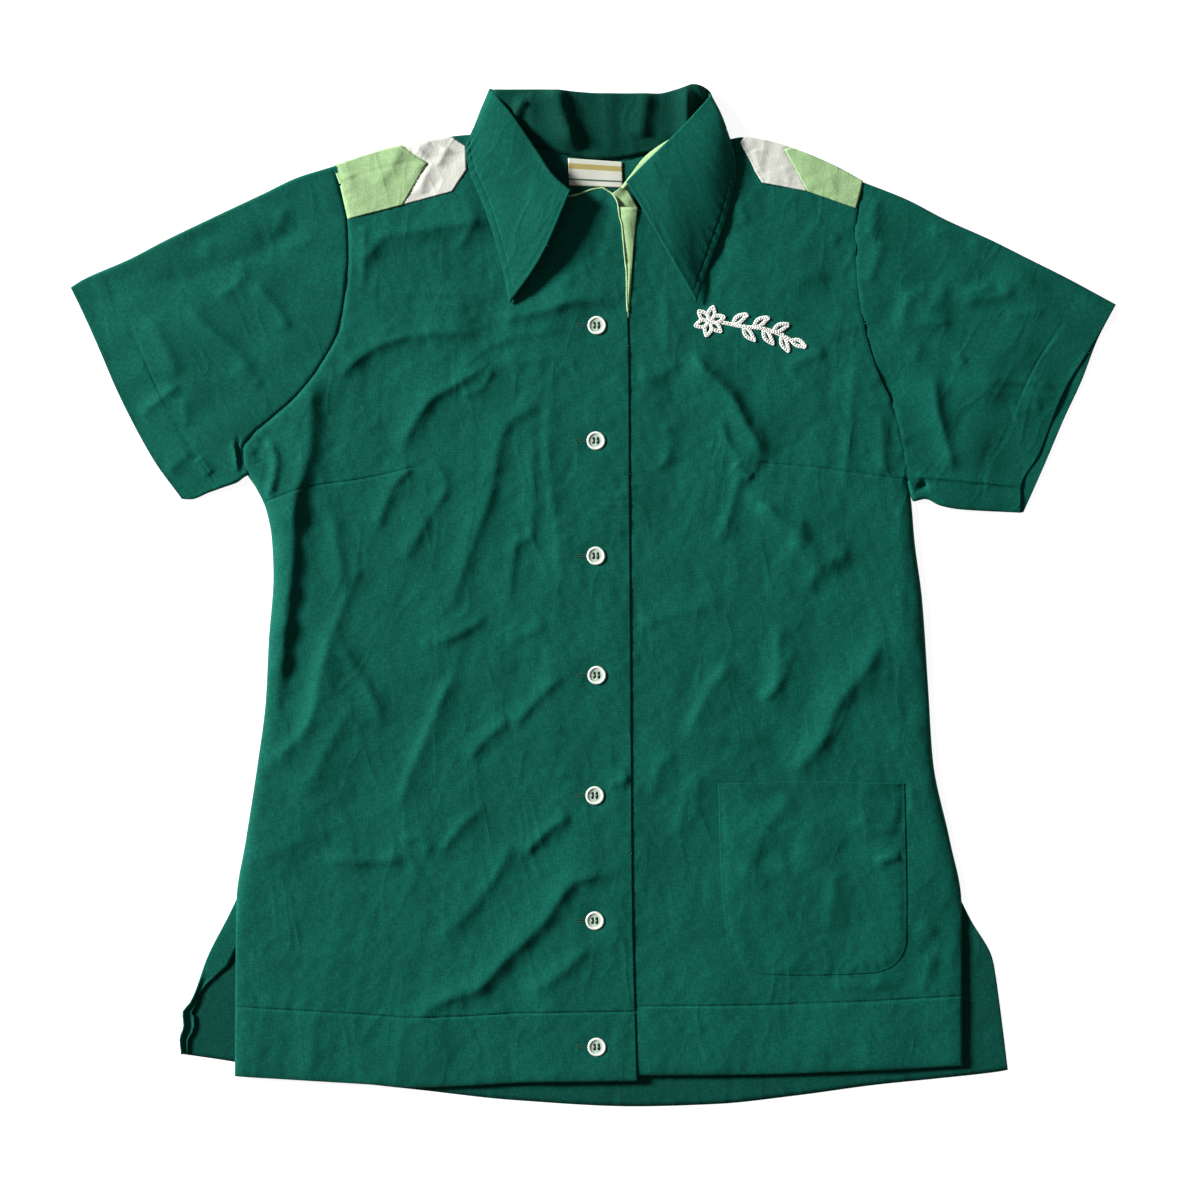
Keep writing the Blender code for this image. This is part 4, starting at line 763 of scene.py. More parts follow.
# ---------------------------------------------------------------------------------------------------
# Sleeves. Short set-in sleeves of the same poplin, each a flattened tube that is pressed to a fold
# along the top and has its seam at the underarm. Their cuffs are turned up and stitched.
# ---------------------------------------------------------------------------------------------------
SEAM_STEP = 0.0004  # how far the sleeve's edge lies below that of the body
UNDER_LIFT = 0.0008  # how far its lower layer rises towards the cuff
CUFF_DEPTH = 0.0245
CUFF_FLAT = 0.30  # height of a sleeve at its cuff, as a share of its usual one
SLEEVE_LENGTH, SLEEVE_WIDTH, SLEEVE_STEP = 0.150, 0.250, 0.0022
ARMHOLE_SHARE = 12 / 13  # how much of its width is the armhole, with the shoulder's fold above
GRAIN = (0.90, -0.43)  # the way that a sleeve's warp runs in plan: outward, and down
RIGHT_SLEEVE_FOLD = [
    (-0.169, 0.279), (-0.192, 0.271), (-0.213, 0.261), (-0.249, 0.244), (-0.276, 0.231),
    (-0.301, 0.218), (-0.331, 0.205), (-0.339, 0.2),
]
RIGHT_SLEEVE_UNDER = [
    (-0.2241, 0.0783), (-0.2265, 0.0768), (-0.2304, 0.0738), (-0.2395, 0.0705), (-0.2486, 0.0673),
    (-0.2616, 0.0627), (-0.267, 0.063),
]
RIGHT_CUFF = [
    (-0.267, 0.063), (-0.285, 0.088), (-0.306, 0.127), (-0.323, 0.166), (-0.335, 0.192), (-0.339, 0.2),
]
LEFT_SLEEVE_FOLD = [
    (0.176, 0.269), (0.192, 0.262), (0.204, 0.257), (0.229, 0.244), (0.258, 0.231), (0.284, 0.218),
    (0.31, 0.205), (0.34, 0.189),
]
LEFT_SLEEVE_UNDER = [
    (0.209, 0.062), (0.2088, 0.0612), (0.2165, 0.0628), (0.226, 0.0585), (0.241, 0.056), (0.28, 0.054),
]
LEFT_CUFF_UPPER = [
    (0.278, 0.054), (0.278, 0.069), (0.29, 0.092), (0.306, 0.132), (0.327, 0.166), (0.34, 0.189),
]
LEFT_CUFF_LOWER = [
    (0.28, 0.054), (0.295, 0.088), (0.306, 0.114), (0.318, 0.14), (0.328, 0.166), (0.34, 0.189),
]
RIGHT_SLEEVE_CREASES = [
    (-0.001, 0.009, 0.009, [(-0.3234, 0.1921), (-0.2714, 0.2044), (-0.2291, 0.2168), (-0.1739, 0.2493)]),
    (0.0012, 0.003, 0.005, [(-0.2311, 0.2194), (-0.2304, 0.2077), (-0.246, 0.194)]),
    (0.0015, 0.005, 0.0035, [(-0.2187, 0.2057), (-0.2038, 0.1895), (-0.1934, 0.1713)]),
    (0.0016, 0.006, 0.004, [(-0.2642, 0.1908), (-0.2428, 0.1726), (-0.2291, 0.1596), (-0.2148, 0.1433)]),
    (0.0014, 0.008, 0.004, [(-0.2876, 0.1843), (-0.2759, 0.1661), (-0.2649, 0.1394)]),
    (0.0016, 0.004, 0.0035, [(-0.2928, 0.1134), (-0.2811, 0.1238), (-0.2649, 0.1355)]),
    (0.001, 0.005, 0.0035, [(-0.2031, 0.2324), (-0.1966, 0.2525)]),
    (0.0009, 0.003, 0.005, [(-0.2675, 0.129), (-0.2655, 0.1089)]),
    (0.0008, 0.005, 0.004, [(-0.2005, 0.2213), (-0.1771, 0.2291)]),
    (0.0012, 0.006, 0.005, [(-0.2746, 0.0764), (-0.2584, 0.0913)]),
    (0.001, 0.004, 0.003, [(-0.2551, 0.0913), (-0.2447, 0.0796)]),
    (0.0009, 0.003, 0.004, [(-0.2356, 0.1453), (-0.2148, 0.1336)]),
    (0.0008, 0.005, 0.004, [(-0.2447, 0.2311), (-0.2473, 0.2161)]),
    (-0.0013, 0.0007, 0.0006, [(-0.2322, 0.102), (-0.2312, 0.1036), (-0.23, 0.101), (-0.2292, 0.094),
     (-0.228, 0.086), (-0.227, 0.079), (-0.2285, 0.0745)]),
    (0.0015, 0.0025, 0.0008, [(-0.2335, 0.101), (-0.231, 0.094), (-0.23, 0.086), (-0.229, 0.078)]),
]
LEFT_SLEEVE_CREASES = [
    (0.0019, 0.005, 0.005, [(0.1817, 0.2636), (0.1791, 0.2473), (0.1765, 0.2278)]),
    (0.0015, 0.005, 0.004, [(0.1914, 0.2311), (0.1869, 0.2168), (0.181, 0.1999)]),
    (0.0014, 0.004, 0.005, [(0.2044, 0.2012), (0.1973, 0.1791)]),
    (0.0012, 0.006, 0.006, [(0.2103, 0.2012), (0.2194, 0.1921), (0.2259, 0.2051)]),
    (0.0014, 0.006, 0.004, [(0.2194, 0.2324), (0.2402, 0.2363)]),
    (0.0015, 0.006, 0.004, [(0.246, 0.2259), (0.2636, 0.2291)]),
    (0.0014, 0.004, 0.007, [(0.2324, 0.196), (0.261, 0.2038)]),
    (0.0017, 0.006, 0.004, [(0.2389, 0.1875), (0.261, 0.1908), (0.2766, 0.1947)]),
    (0.001, 0.003, 0.005, [(0.2662, 0.1843), (0.2941, 0.1869)]),
    (0.0015, 0.007, 0.005, [(0.1934, 0.1745), (0.2194, 0.1726), (0.2356, 0.1752)]),
    (0.0028, 0.008, 0.005, [(0.2246, 0.1453), (0.2265, 0.1238), (0.2324, 0.1011), (0.2382, 0.079)]),
    (0.0016, 0.004, 0.006, [(0.2272, 0.1453), (0.2545, 0.1362), (0.2811, 0.1329), (0.3039, 0.129)]),
    (0.0012, 0.006, 0.005, [(0.2116, 0.1498), (0.2161, 0.1628)]),
    (0.001, 0.005, 0.004, [(0.2356, 0.1479), (0.2434, 0.1505)]),
    (0.001, 0.008, 0.006, [(0.2727, 0.1141), (0.2941, 0.1193)]),
    (0.0009, 0.006, 0.005, [(0.1934, 0.1141), (0.2064, 0.0978)]),
    (0.001, 0.006, 0.0009, [(0.198, 0.0782), (0.207, 0.0768), (0.2334, 0.0745), (0.2575, 0.0722),
     (0.286, 0.0695)]),
    (-0.004, 0.0028, 0.0018, [(0.2065, 0.069), (0.213, 0.0702), (0.2185, 0.072)]),
    (0.0012, 0.005, 0.003, [(0.2469, 0.1366), (0.2804, 0.1366), (0.3019, 0.1307)]),
]
UNDER_SLEEVE_CREASES = [
    (0.0009, 0.007, 0.005, [(-0.195, 0.18), (-0.24, 0.15), (-0.285, 0.135)]),
    (0.0008, 0.006, 0.005, [(-0.205, 0.22), (-0.24, 0.205), (-0.275, 0.165)]),
    (0.0009, 0.007, 0.005, [(0.215, 0.19), (0.245, 0.15), (0.28, 0.13)]),
    (0.0008, 0.006, 0.005, [(0.225, 0.11), (0.25, 0.125), (0.262, 0.16)]),
]


def sleeve(armhole, seam_end, fold, under, cuffs, table, seed, pull):
    """Grid of a flattened tube from its armhole to its cuff, round at the fold and at the underarm.

    `pull` is how far its seam to the body draws its edge down.
    """
    v = graded(SLEEVE_WIDTH, [0.0, 0.017, 0.022, 0.027, SLEEVE_WIDTH], 0.0035, SLEEVE_STEP)
    line = joined([(ARMHOLE_SHARE, armhole), (1.0, [armhole[-1], seam_end])], v)
    start = line + SEAM_STEP * inward_of(line, (0.0, 0.1))
    u = graded(SLEEVE_LENGTH, [0.0, SLEEVE_LENGTH - CUFF_DEPTH, SLEEVE_LENGTH], 0.003, 0.0021, 0.0007)
    low, high = along([start[0], *under[1:]], u), along([start[-1], *fold[1:]], u)
    middle, radius = (BACK_Z + FRONT_Z) / 2, (FRONT_Z - BACK_Z) / 2
    layers = []
    for cuff, upper in zip(cuffs, (True, False)):
        end = along(cuff, v)
        plan = patch(low, high, start, end, u, v)
        inside = np.minimum(nearest_on(plan, low)[0], nearest_on(plan, high)[0])
        share = rounded(inside, radius)
        from_cuff, cuff_run, _ = nearest_on(plan, end)
        flat = 1 - (1 - CUFF_FLAT) * ease(from_cuff, 0.050, 0.0)
        if upper:
            folded = creases(plan, table, seed) + rumple(plan, seed + 1, 0.00035, 0.025, 0.090)
            folded += turned_up(from_cuff, CUFF_DEPTH, cuff_run, seed + 3, CUFF_PULL)
            folded += seamed(plan, line, seed + 2)
            folded += groove(nearest_on(plan, start)[0], pull, 0.0006)
            shape = middle + share * radius
            folded *= ease(inside, 0.0, 0.012)
        else:
            folded = np.maximum(creases(plan, UNDER_SLEEVE_CREASES, seed + 4), 0.0)
            folded = flat * folded + UNDER_LIFT * ease(from_cuff, 0.030, 0.0)
            shape = middle - share * radius
            folded *= ease(inside, 0.002, 0.012)
        layers.append(with_z(plan, BACK_Z + flat * (shape - BACK_Z) + folded))
    ring = np.concatenate([layers[0], layers[1][-2:0:-1], layers[0][:1]])
    return ring.transpose(1, 0, 2)


sleeves = [
    ("sleeve_right", -1, (RIGHT_ARMHOLE, RIGHT_FOLD[0], RIGHT_SLEEVE_FOLD, RIGHT_SLEEVE_UNDER,
                          (RIGHT_CUFF, RIGHT_CUFF), RIGHT_SLEEVE_CREASES, 61, 0.0007)),
    ("sleeve_left", 1, (LEFT_ARMHOLE, LEFT_FOLD[0], LEFT_SLEEVE_FOLD, LEFT_SLEEVE_UNDER,
                        (LEFT_CUFF_UPPER, LEFT_CUFF_LOWER), LEFT_SLEEVE_CREASES, 71, 0.0002)),
]
for node, away, shape in sleeves:
    ring = sleeve(*shape)
    x, y = ring[..., 0], ring[..., 1]
    out, down = away * GRAIN[0], GRAIN[1]
    grain = np.stack([out * x + down * y, out * y - down * x], axis=-1)
    piece = cloth(node + "_cloth", [ring], dark_poplin, maps=[grain])
    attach(piece, "root")
    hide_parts(node)

# ---------------------------------------------------------------------------------------------------
# Shoulder inserts. Two bands on each shoulder, one of light green and one of white poplin, cut on a
# slant, edge-stitched onto the shirt over the shoulder seam and taken over the fold to the back.
# ---------------------------------------------------------------------------------------------------
# Where green meets white, as corners from the front up to the fold: x, y, and how many times
# ROWS_A_STEP rows of the grid lie up to the next corner
RIGHT_CHEVRON = [(-0.1230, 0.2533, 4), (-0.1065, 0.2802, 3), (-0.1233, 0.2917, 0)]
LEFT_CHEVRON = [(0.1395, 0.2621, 4), (0.1243, 0.2893, 3), (0.1294, 0.2912, 0)]
INSERTS = [  # node, cloth, shoulder, and the edges towards the arm and towards the neck
    ("insert_green_right", "light", "right",
     [(-0.1588, 0.2441, 4), (-0.1637, 0.2660, 3), (-0.1685, 0.2790, 0)], RIGHT_CHEVRON),
    ("insert_white_right", "white", "right", RIGHT_CHEVRON,
     [(-0.0909, 0.2620, 2), (-0.0814, 0.2764, 2), (-0.0822, 0.2912, 3), (-0.0930, 0.2985, 0)]),
    ("insert_green_left", "light", "left",
     [(0.1709, 0.2512, 4), (0.1735, 0.2600, 3), (0.1755, 0.2695, 0)], LEFT_CHEVRON),
    ("insert_white_left", "white", "left", LEFT_CHEVRON,
     [(0.1099, 0.2678, 2), (0.1055, 0.2750, 1), (0.1016, 0.2832, 2), (0.0957, 0.2935, 2),
      (0.0988, 0.2978, 0)]),
]
ROWS_A_STEP = 6
INSERT_TURN = 0.0095  # how much of an insert lies beyond the fold, before it is turned under
INSERT_CREASES = [
    (0.0011, 0.007, 0.0045, [(-0.1212, 0.2892), (-0.1264, 0.2785), (-0.1381, 0.2629)]),
    (0.0007, 0.005, 0.004, [(-0.1537, 0.274), (-0.1575, 0.26)]),
    (0.0012, 0.005, 0.004, [(-0.1099, 0.2931), (-0.1069, 0.2766), (-0.1084, 0.258)]),
    (0.001, 0.004, 0.0035, [(-0.0915, 0.29), (-0.0985, 0.277)]),
    (0.0008, 0.004, 0.0035, [(-0.104, 0.292), (-0.115, 0.286)]),
    (0.0005, 0.004, 0.0035, [(0.108, 0.29), (0.111, 0.275)]),
    (0.0005, 0.004, 0.0035, [(0.126, 0.28), (0.131, 0.265)]),
    (0.0004, 0.005, 0.004, [(0.145, 0.279), (0.149, 0.264)]),
    (0.0004, 0.004, 0.003, [(0.158, 0.274), (0.16, 0.26)]),
]
INSERT_RISE = 0.0006  # middle of an insert above the middle of the back, round the fold
INSERT_LIFT = 0.0005  # the same above the middle of the front that it lies on, at least
INSERT_SEAM = 0.0016  # from its edge to its row of stitches
INSERT_CLOTH = 0.0003  # thickness of its cloth, as drawn
TUCK = 0.0006  # how far a white insert runs below the green one beside it
TUCK_STEP = 0.0003  # how much higher the green one lies there, and how much lower the white one
ARM_DIP, ARM_DIP_WIDTH = 0.0012, 0.0030  # how the armhole's seam draws a green insert down

light_poplin = poplin("poplin_light_green", "8dad7b", "9cbd89", "abca95", 0.5)
white_poplin = poplin("poplin_off_white", "c5c7bd", "cfd0c6", "d8d9cf", 0.4)


def over_shoulder(plan, fold):
    """Points of a flat piece laid over a shoulder: level on top, then round the fold and under it."""
    start, run = fold[:-1], np.diff(fold, axis=0)
    offset = plan[..., None, :] - start
    t = np.clip((offset * run).sum(-1) / (run * run).sum(-1), 0.0, 1.0)
    nearest = np.linalg.norm(offset - t[..., None] * run, axis=-1).argmin(axis=-1)
    t = np.take_along_axis(t, nearest[..., None], axis=-1)
    inward = inward_of(fold, (0.0, 0.0))
    normal = (1 - t) * inward[nearest] + t * inward[nearest + 1]
    normal /= np.linalg.norm(normal, axis=-1)[..., None]
    depth = ((plan - start[nearest] - t * run[nearest]) * normal).sum(-1)
    foot = plan - depth[..., None] * normal
    radius = shoulder_radius + INSERT_RISE
    angle = np.clip((shoulder_radius - depth) / radius, 0.0, math.pi)
    beyond = np.maximum((shoulder_radius - depth) - math.pi * radius, 0.0)
    in_by = np.where(
        depth >= shoulder_radius, depth, shoulder_radius - radius * np.sin(angle) + beyond
    )
    return with_z(foot + in_by[..., None] * normal, (FRONT_Z + YOKE_Z) / 2 + radius * np.cos(angle))


for number, (node, look, side, armward, neckward) in enumerate(INSERTS):
    fold = folds_in_plan[side]
    outward = -inward_of(fold, (0.0, 0.0)).mean(axis=0)
    edges = []
    for corners in (armward, neckward):
        parts = [
            np.linspace(here[:2], after[:2], ROWS_A_STEP * here[2] + 1)[:-1]
            for here, after in zip(corners, corners[1:])
        ]
        last = np.array(corners[-1][:2])
        edges.append(np.concatenate([*parts, np.linspace(last, last + outward * INSERT_TURN, 19)]))
    if look == "white":
        edges[0] = edges[0] + ((-TUCK if side == "right" else TUCK), 0.0)
    u = np.concatenate([np.linspace(0.0, 0.06, 4), np.linspace(0.1, 1.0, 21)])  # close at the tuck
    v = np.linspace(0.0, 1.0, len(edges[0]))
    plan = patch(along([edges[0][0], edges[1][0]], u), along([edges[0][-1], edges[1][-1]], u),
                 edges[0], edges[1], u, v)
    shape = over_shoulder(plan, fold)
    rim = np.concatenate([edges[0][::-1], along([edges[0][0], edges[1][0]], u)[1:], edges[1][1:]])
    gap, here, _ = nearest_on(plan, rim)
    seam = np.array(RIGHT_SHOULDER if side == "right" else LEFT_SHOULDER)
    relief = groove(gap - INSERT_SEAM, 0.00015, 0.0007)
    relief += groove(nearest_on(plan, seam)[0], 0.0002, 0.0016)
    relief += rumple(plan, 80 + number, 0.00012, 0.015, 0.050)
    relief += puckers(gap, here, 85, 0.00016, 0.005, 0.0035)
    relief += ease(gap, 0.0, 0.004) * creases(plan, INSERT_CREASES, 86, 0.15)
    top = shape[..., 2] > FRONT_Z
    front = (right_height if side == "right" else left_height)(plan) + INSERT_LIFT
    from_arm = nearest_on(plan, edges[0])[0]
    if look == "light":
        front += TUCK_STEP * ease(from_arm, 0.004, 0.014) - 0.0001
        relief += groove(from_arm, ARM_DIP, ARM_DIP_WIDTH)
    lying = np.maximum(np.maximum(shape[..., 2], front) + relief, front)
    if look == "white":
        lying -= TUCK_STEP * ease(from_arm, 2 * TUCK, TUCK)
    shape[..., 2] = np.where(top, lying, shape[..., 2])
    material = light_poplin if look == "light" else white_poplin
    piece = cloth(node + "_cloth", [shape], material, INSERT_CLOTH, [plan])
    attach(piece, "root")
    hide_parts(node)
    run_u, run_v = np.diff(plan, axis=1)[:-1], np.diff(plan, axis=0)[:, :-1]
    cut = np.abs(run_u[..., 0] * run_v[..., 1] - run_u[..., 1] * run_v[..., 0]).sum()

# ---------------------------------------------------------------------------------------------------
# Facings. The fronts are faced with light green poplin, which shows as a rim along the top of the
# right front and as a bent strip where the left front's top turns back below the collar.
# ---------------------------------------------------------------------------------------------------
PIPING = 0.00055  # radius of the rim that the right facing shows
# Patches of the left facing, each between two edges of (x, y, z): down beside the right front's
# edge, at the turn below the neck, and up along the collar
LEFT_FACING = [
    ([(0.0172, 0.2519, 0.0046), (0.0198, 0.2350, 0.0046), (0.0211, 0.2200, 0.0046),
      (0.0223, 0.2000, 0.0046), (0.0230, 0.1800, 0.0046)],
     [(0.0296, 0.2512, 0.0052), (0.0276, 0.2348, 0.0049), (0.0263, 0.2209, 0.0048),
      (0.0250, 0.2010, 0.0047), (0.0233, 0.1800, 0.0046)]),
    ([(0.0127, 0.2606, 0.0058), (0.0150, 0.2570, 0.0044), (0.0168, 0.2530, 0.0026),
      (0.0172, 0.2505, 0.0024)],
     [(0.0211, 0.2662, 0.0062), (0.0250, 0.2590, 0.0054), (0.0288, 0.2530, 0.0036),
      (0.0300, 0.2505, 0.0030)]),
    ([(0.0180, 0.2640, 0.0058), (0.0188, 0.2649, 0.0064), (0.0257, 0.2738, 0.0070),
      (0.0332, 0.2835, 0.0072), (0.0406, 0.2896, 0.0070), (0.0527, 0.2972, 0.0068)],
     [(0.0211, 0.2630, 0.0064), (0.0235, 0.2660, 0.0076), (0.0300, 0.2715, 0.0082),
      (0.0380, 0.2790, 0.0082), (0.0450, 0.2860, 0.0080), (0.0540, 0.2960, 0.0076)]),
]

# Each patch is ruled from edge to edge, with a slight bulge across and waves along it
grids = []
u, v = np.linspace(0.0, 1.0, 13)[None, :], np.linspace(0.0, 1.0, 45)
for first, second in LEFT_FACING:
    one, other = along(first, v)[:, None], along(second, v)[:, None]
    grid = (1 - u[..., None]) * one + u[..., None] * other
    grid[..., 2] += 0.0005 * np.sin(math.pi * u) + 0.00025 * np.sin(9 * v[:, None] + 3 * u)
    grids.append(grid)
grids[0][..., 2] += left_height(grids[0][..., :2]) - FRONT_Z
facing_left = cloth("facing_left_cloth", grids, light_poplin, thickness=0.0003)
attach(facing_left, "root")
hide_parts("facing_left")

# An arc of a circle, carried along the front edge and a part of the neck. Its radius wavers.
line = np.concatenate([along(RIGHT_EDGE_HIGH[2:], np.linspace(0.0, 1.0, 110)),
                       along(RIGHT_NECK, np.linspace(1.0, 0.72, 50))[1:]])
outward = -inward_of(line, (-0.1, 0.1))
turn = np.linspace(-0.35 * math.pi, 0.9 * math.pi, 8)[:, None]
waver = 1 + 0.25 * np.sin(runs(line) / 0.0021) * np.sin(runs(line) / 0.0047 + 1)
plan = line + outward * (0.0002 + PIPING * waver * np.sin(turn))[..., None]
shape = with_z(plan, right_height(line) + 0.0001 + PIPING * np.cos(turn))
facing_right = cloth("facing_right_cloth", [shape], light_poplin, thickness=0.0002)
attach(facing_right, "root")
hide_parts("facing_right")

# ---------------------------------------------------------------------------------------------------
# Label. A blank woven label with two plain bands, caught in the neck seam on the inside of the back.
# ---------------------------------------------------------------------------------------------------
LABEL_CORNERS = [(-0.0152, 0.2662), (0.0198, 0.2647), (-0.0159, 0.2839), (0.0194, 0.2814)]
LABEL_Z = YOKE_Z + 0.0008
# Middle and half width of its bands, as shares of its height up from its middle
GOLD_BAND, DARK_BAND = (0.22, 0.10), (-0.27, 0.035)

# Damask of off-white polyester thread, with its bands in weft threads of gold and dark grey green:
# satiny, with fine ribs across. The ribs are drawn about 0.5 mm wide, since real ones are too fine.
woven, shader = new_material("label_woven_damask")
tree = woven.node_tree
place = add(tree, "UVMap", uv_map="cloth").outputs["UV"]
parts = add(tree, "SeparateXYZ", {"Vector": place})
band = add(tree, "Math", {0: parts.outputs["Y"], 1: 0.5}, operation="SUBTRACT").outputs[0]
upper = add(tree, "Math", {0: band, 1: GOLD_BAND[0], 2: GOLD_BAND[1]}, operation="COMPARE").outputs[0]
lower = add(tree, "Math", {0: band, 1: DARK_BAND[0], 2: DARK_BAND[1]}, operation="COMPARE").outputs[0]
thread = add(tree, "TexWave", {"Vector": place, "Scale": 22.0, "Distortion": 0.6})
ground = add(tree, "Mix", {0: thread.outputs["Fac"]}, data_type="RGBA")
ground.inputs[6].default_value = linear("c3c6b6")
ground.inputs[7].default_value = linear("d2d5c8")
gold = add(tree, "Mix", {0: upper, 6: ground.outputs[2]}, data_type="RGBA")
gold.inputs[7].default_value = linear("a89a5c")
tint = add(tree, "Mix", {0: lower, 6: gold.outputs[2]}, data_type="RGBA")
tint.inputs[7].default_value = linear("55655c")
tree.links.new(tint.outputs[2], shader.inputs["Base Color"])
shader.inputs["Roughness"].default_value = 0.55

u = np.linspace(0.0, 1.0, 36)
v = np.linspace(0.0, 1.0, 20)
plan = patch(along(LABEL_CORNERS[:2], u), along(LABEL_CORNERS[2:], u),
             along(LABEL_CORNERS[0::2], v), along(LABEL_CORNERS[1::2], v), u, v)
wave = 0.0002 * np.sin(9 * u)[None, :] * (1 - v)[:, None]
label = cloth("label_woven", [with_z(plan, LABEL_Z + wave)], woven, thickness=0.0003,
              maps=[np.stack(np.meshgrid(u, v), axis=-1)])
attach(label, "root")
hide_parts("label")

# ---------------------------------------------------------------------------------------------------
# Collar. Stand and fall in one, of interlined dark green poplin: sewn to the neckline, up to the roll
# and down to its points, topstitched 5 mm inside its edge. Beside the neck it folds under the back.
# ---------------------------------------------------------------------------------------------------
COLLAR_SECTIONS = [
    # neck seam               roll                      outer edge               turn
    (-0.0125, 0.2612, 0.0060, -0.0140, 0.2610, 0.0140, -0.0535, 0.1895, 0.0064, 0.0),
    (-0.0295, 0.2593, 0.0050, -0.0250, 0.2710, 0.0125, -0.0600, 0.2200, 0.0062, 0.0),
    (-0.0465, 0.2650, 0.0044, -0.0370, 0.2890, 0.0105, -0.0700, 0.2510, 0.0062, 0.0),
    (-0.0662, 0.2779, 0.0044, -0.0520, 0.3110, 0.0090, -0.0795, 0.2740, 0.0064, 0.0),
    (-0.0752, 0.2885, 0.0044, -0.0610, 0.3220, 0.0068, -0.0822, 0.2880, 0.0068, 0.1),
    (-0.0740, 0.2975, 0.0042, -0.0640, 0.3262, 0.0052, -0.0800, 0.2970, 0.0064, 0.5),
    (-0.0730, 0.3005, 0.0034, -0.0658, 0.3284, 0.0036, -0.0765, 0.3035, 0.0034, 1.0),
    (-0.0735, 0.2988, 0.0026, -0.0640, 0.3278, 0.0025, -0.0775, 0.2975, 0.0009, 1.6),
    (-0.0700, 0.2972, 0.0023, -0.0560, 0.3275, 0.0023, -0.0720, 0.2880, 0.0005, 2.0),
    (-0.0370, 0.2910, 0.0023, -0.0330, 0.3275, 0.0026, -0.0380, 0.2830, 0.0005, 2.0),
    (0.0060, 0.2830, 0.0023, 0.0060, 0.3250, 0.0028, 0.0060, 0.2780, 0.0005, 2.0),
    (0.0440, 0.2889, 0.0023, 0.0420, 0.3248, 0.0026, 0.0470, 0.2820, 0.0005, 2.0),
    (0.0620, 0.2945, 0.0023, 0.0530, 0.3270, 0.0026, 0.0640, 0.2850, 0.0005, 2.0),
    (0.0800, 0.2972, 0.0023, 0.0640, 0.3310, 0.0024, 0.0820, 0.2880, 0.0005, 2.0),
    (0.0825, 0.2978, 0.0026, 0.0710, 0.3300, 0.0025, 0.0865, 0.2960, 0.0009, 1.6),
    (0.0828, 0.2990, 0.0034, 0.0755, 0.3262, 0.0036, 0.0855, 0.3020, 0.0034, 1.0),
    (0.0840, 0.2960, 0.0042, 0.0760, 0.3236, 0.0054, 0.0880, 0.2965, 0.0066, 0.5),
    (0.0860, 0.2880, 0.0044, 0.0735, 0.3200, 0.0072, 0.0918, 0.2860, 0.0066, 0.1),
    (0.0791, 0.2719, 0.0044, 0.0640, 0.3090, 0.0108, 0.0930, 0.2720, 0.0061, 0.0),
    (0.0625, 0.2610, 0.0044, 0.0495, 0.2940, 0.0122, 0.0870, 0.2460, 0.0060, 0.0),
    (0.0437, 0.2531, 0.0044, 0.0350, 0.2800, 0.0122, 0.0780, 0.2200, 0.0058, 0.0),
    (0.0320, 0.2525, 0.0050, 0.0220, 0.2670, 0.0112, 0.0670, 0.1900, 0.0056, 0.0),
]
RIGHT_OUTWARD, LEFT_OUTWARD = (-0.93, 0.37), (0.94, 0.34)  # out of the fold beside the neck, in plan
ROLL_RADIUS = 0.0009
FALL_CROWN = 0.0014  # how far the fall bulges up halfway down, on the right
LEFT_CROWN = 0.0036  # the same on the left
TOPSTITCH = 0.0050  # from its edge to its row of stitches
NECK_STAND = 0.0040  # how far the roll stands up behind the neck
RIGHT_END_BOW = np.array([0.0036, -0.0016, 0.0010])  # how far the right front end bows out halfway
COLLAR_LOW = 0.0006  # least height of its middle, so that its lower side stays off the surface
NECK_CREASES = [
    (0.006, 0.012, 0.0043, [(-0.0195, 0.33), (-0.0168, 0.316), (-0.0125, 0.303), (-0.008, 0.288)]),
    (0.0036, 0.003, 0.0026, [(-0.0425, 0.321), (-0.048, 0.311), (-0.053, 0.304)]),
    (0.0052, 0.006, 0.0038, [(0.064, 0.329), (0.064, 0.31), (0.062, 0.293)]),
    (0.0028, 0.007, 0.0034, [(0.0385, 0.326), (0.036, 0.31), (0.034, 0.296)]),
    (0.0008, 0.004, 0.0026, [(0.015, 0.328), (0.014, 0.308), (0.0145, 0.286)]),
    (0.0014, 0.006, 0.0034, [(-0.037, 0.327), (-0.0365, 0.312), (-0.034, 0.296)]),
]

# At each section the stand is straight from the neck seam to the roll, the roll is half a circle, and
# the fall is straight from there to the edge, with half a sine wave added as its crown. `turn` is the
# way that the fall faces, in right angles: 0 for up, 1 for out past the neck, 2 for down.
rows = through(COLLAR_SECTIONS, 14)
neck, roll, edge, turn = rows[:, 0:3], rows[:, 3:6], rows[:, 6:9], rows[:, 9:10]
roll[:, 2] += NECK_STAND * ease(turn[:, 0], 1.2, 2.0)
up = np.array([0.0, 0.0, 1.0])
outward = np.where(roll[:, :1] < 0, [*RIGHT_OUTWARD, 0.0], [*LEFT_OUTWARD, 0.0])
inward = roll - (neck + edge) / 2
inward /= np.linalg.norm(inward, axis=1)[:, None]
face = np.cos(turn * math.pi / 2) * up + np.sin(turn * math.pi / 2) * outward
face -= (face * inward).sum(axis=1)[:, None] * inward
face /= np.linalg.norm(face, axis=1)[:, None]
middle = roll - ROLL_RADIUS * inward

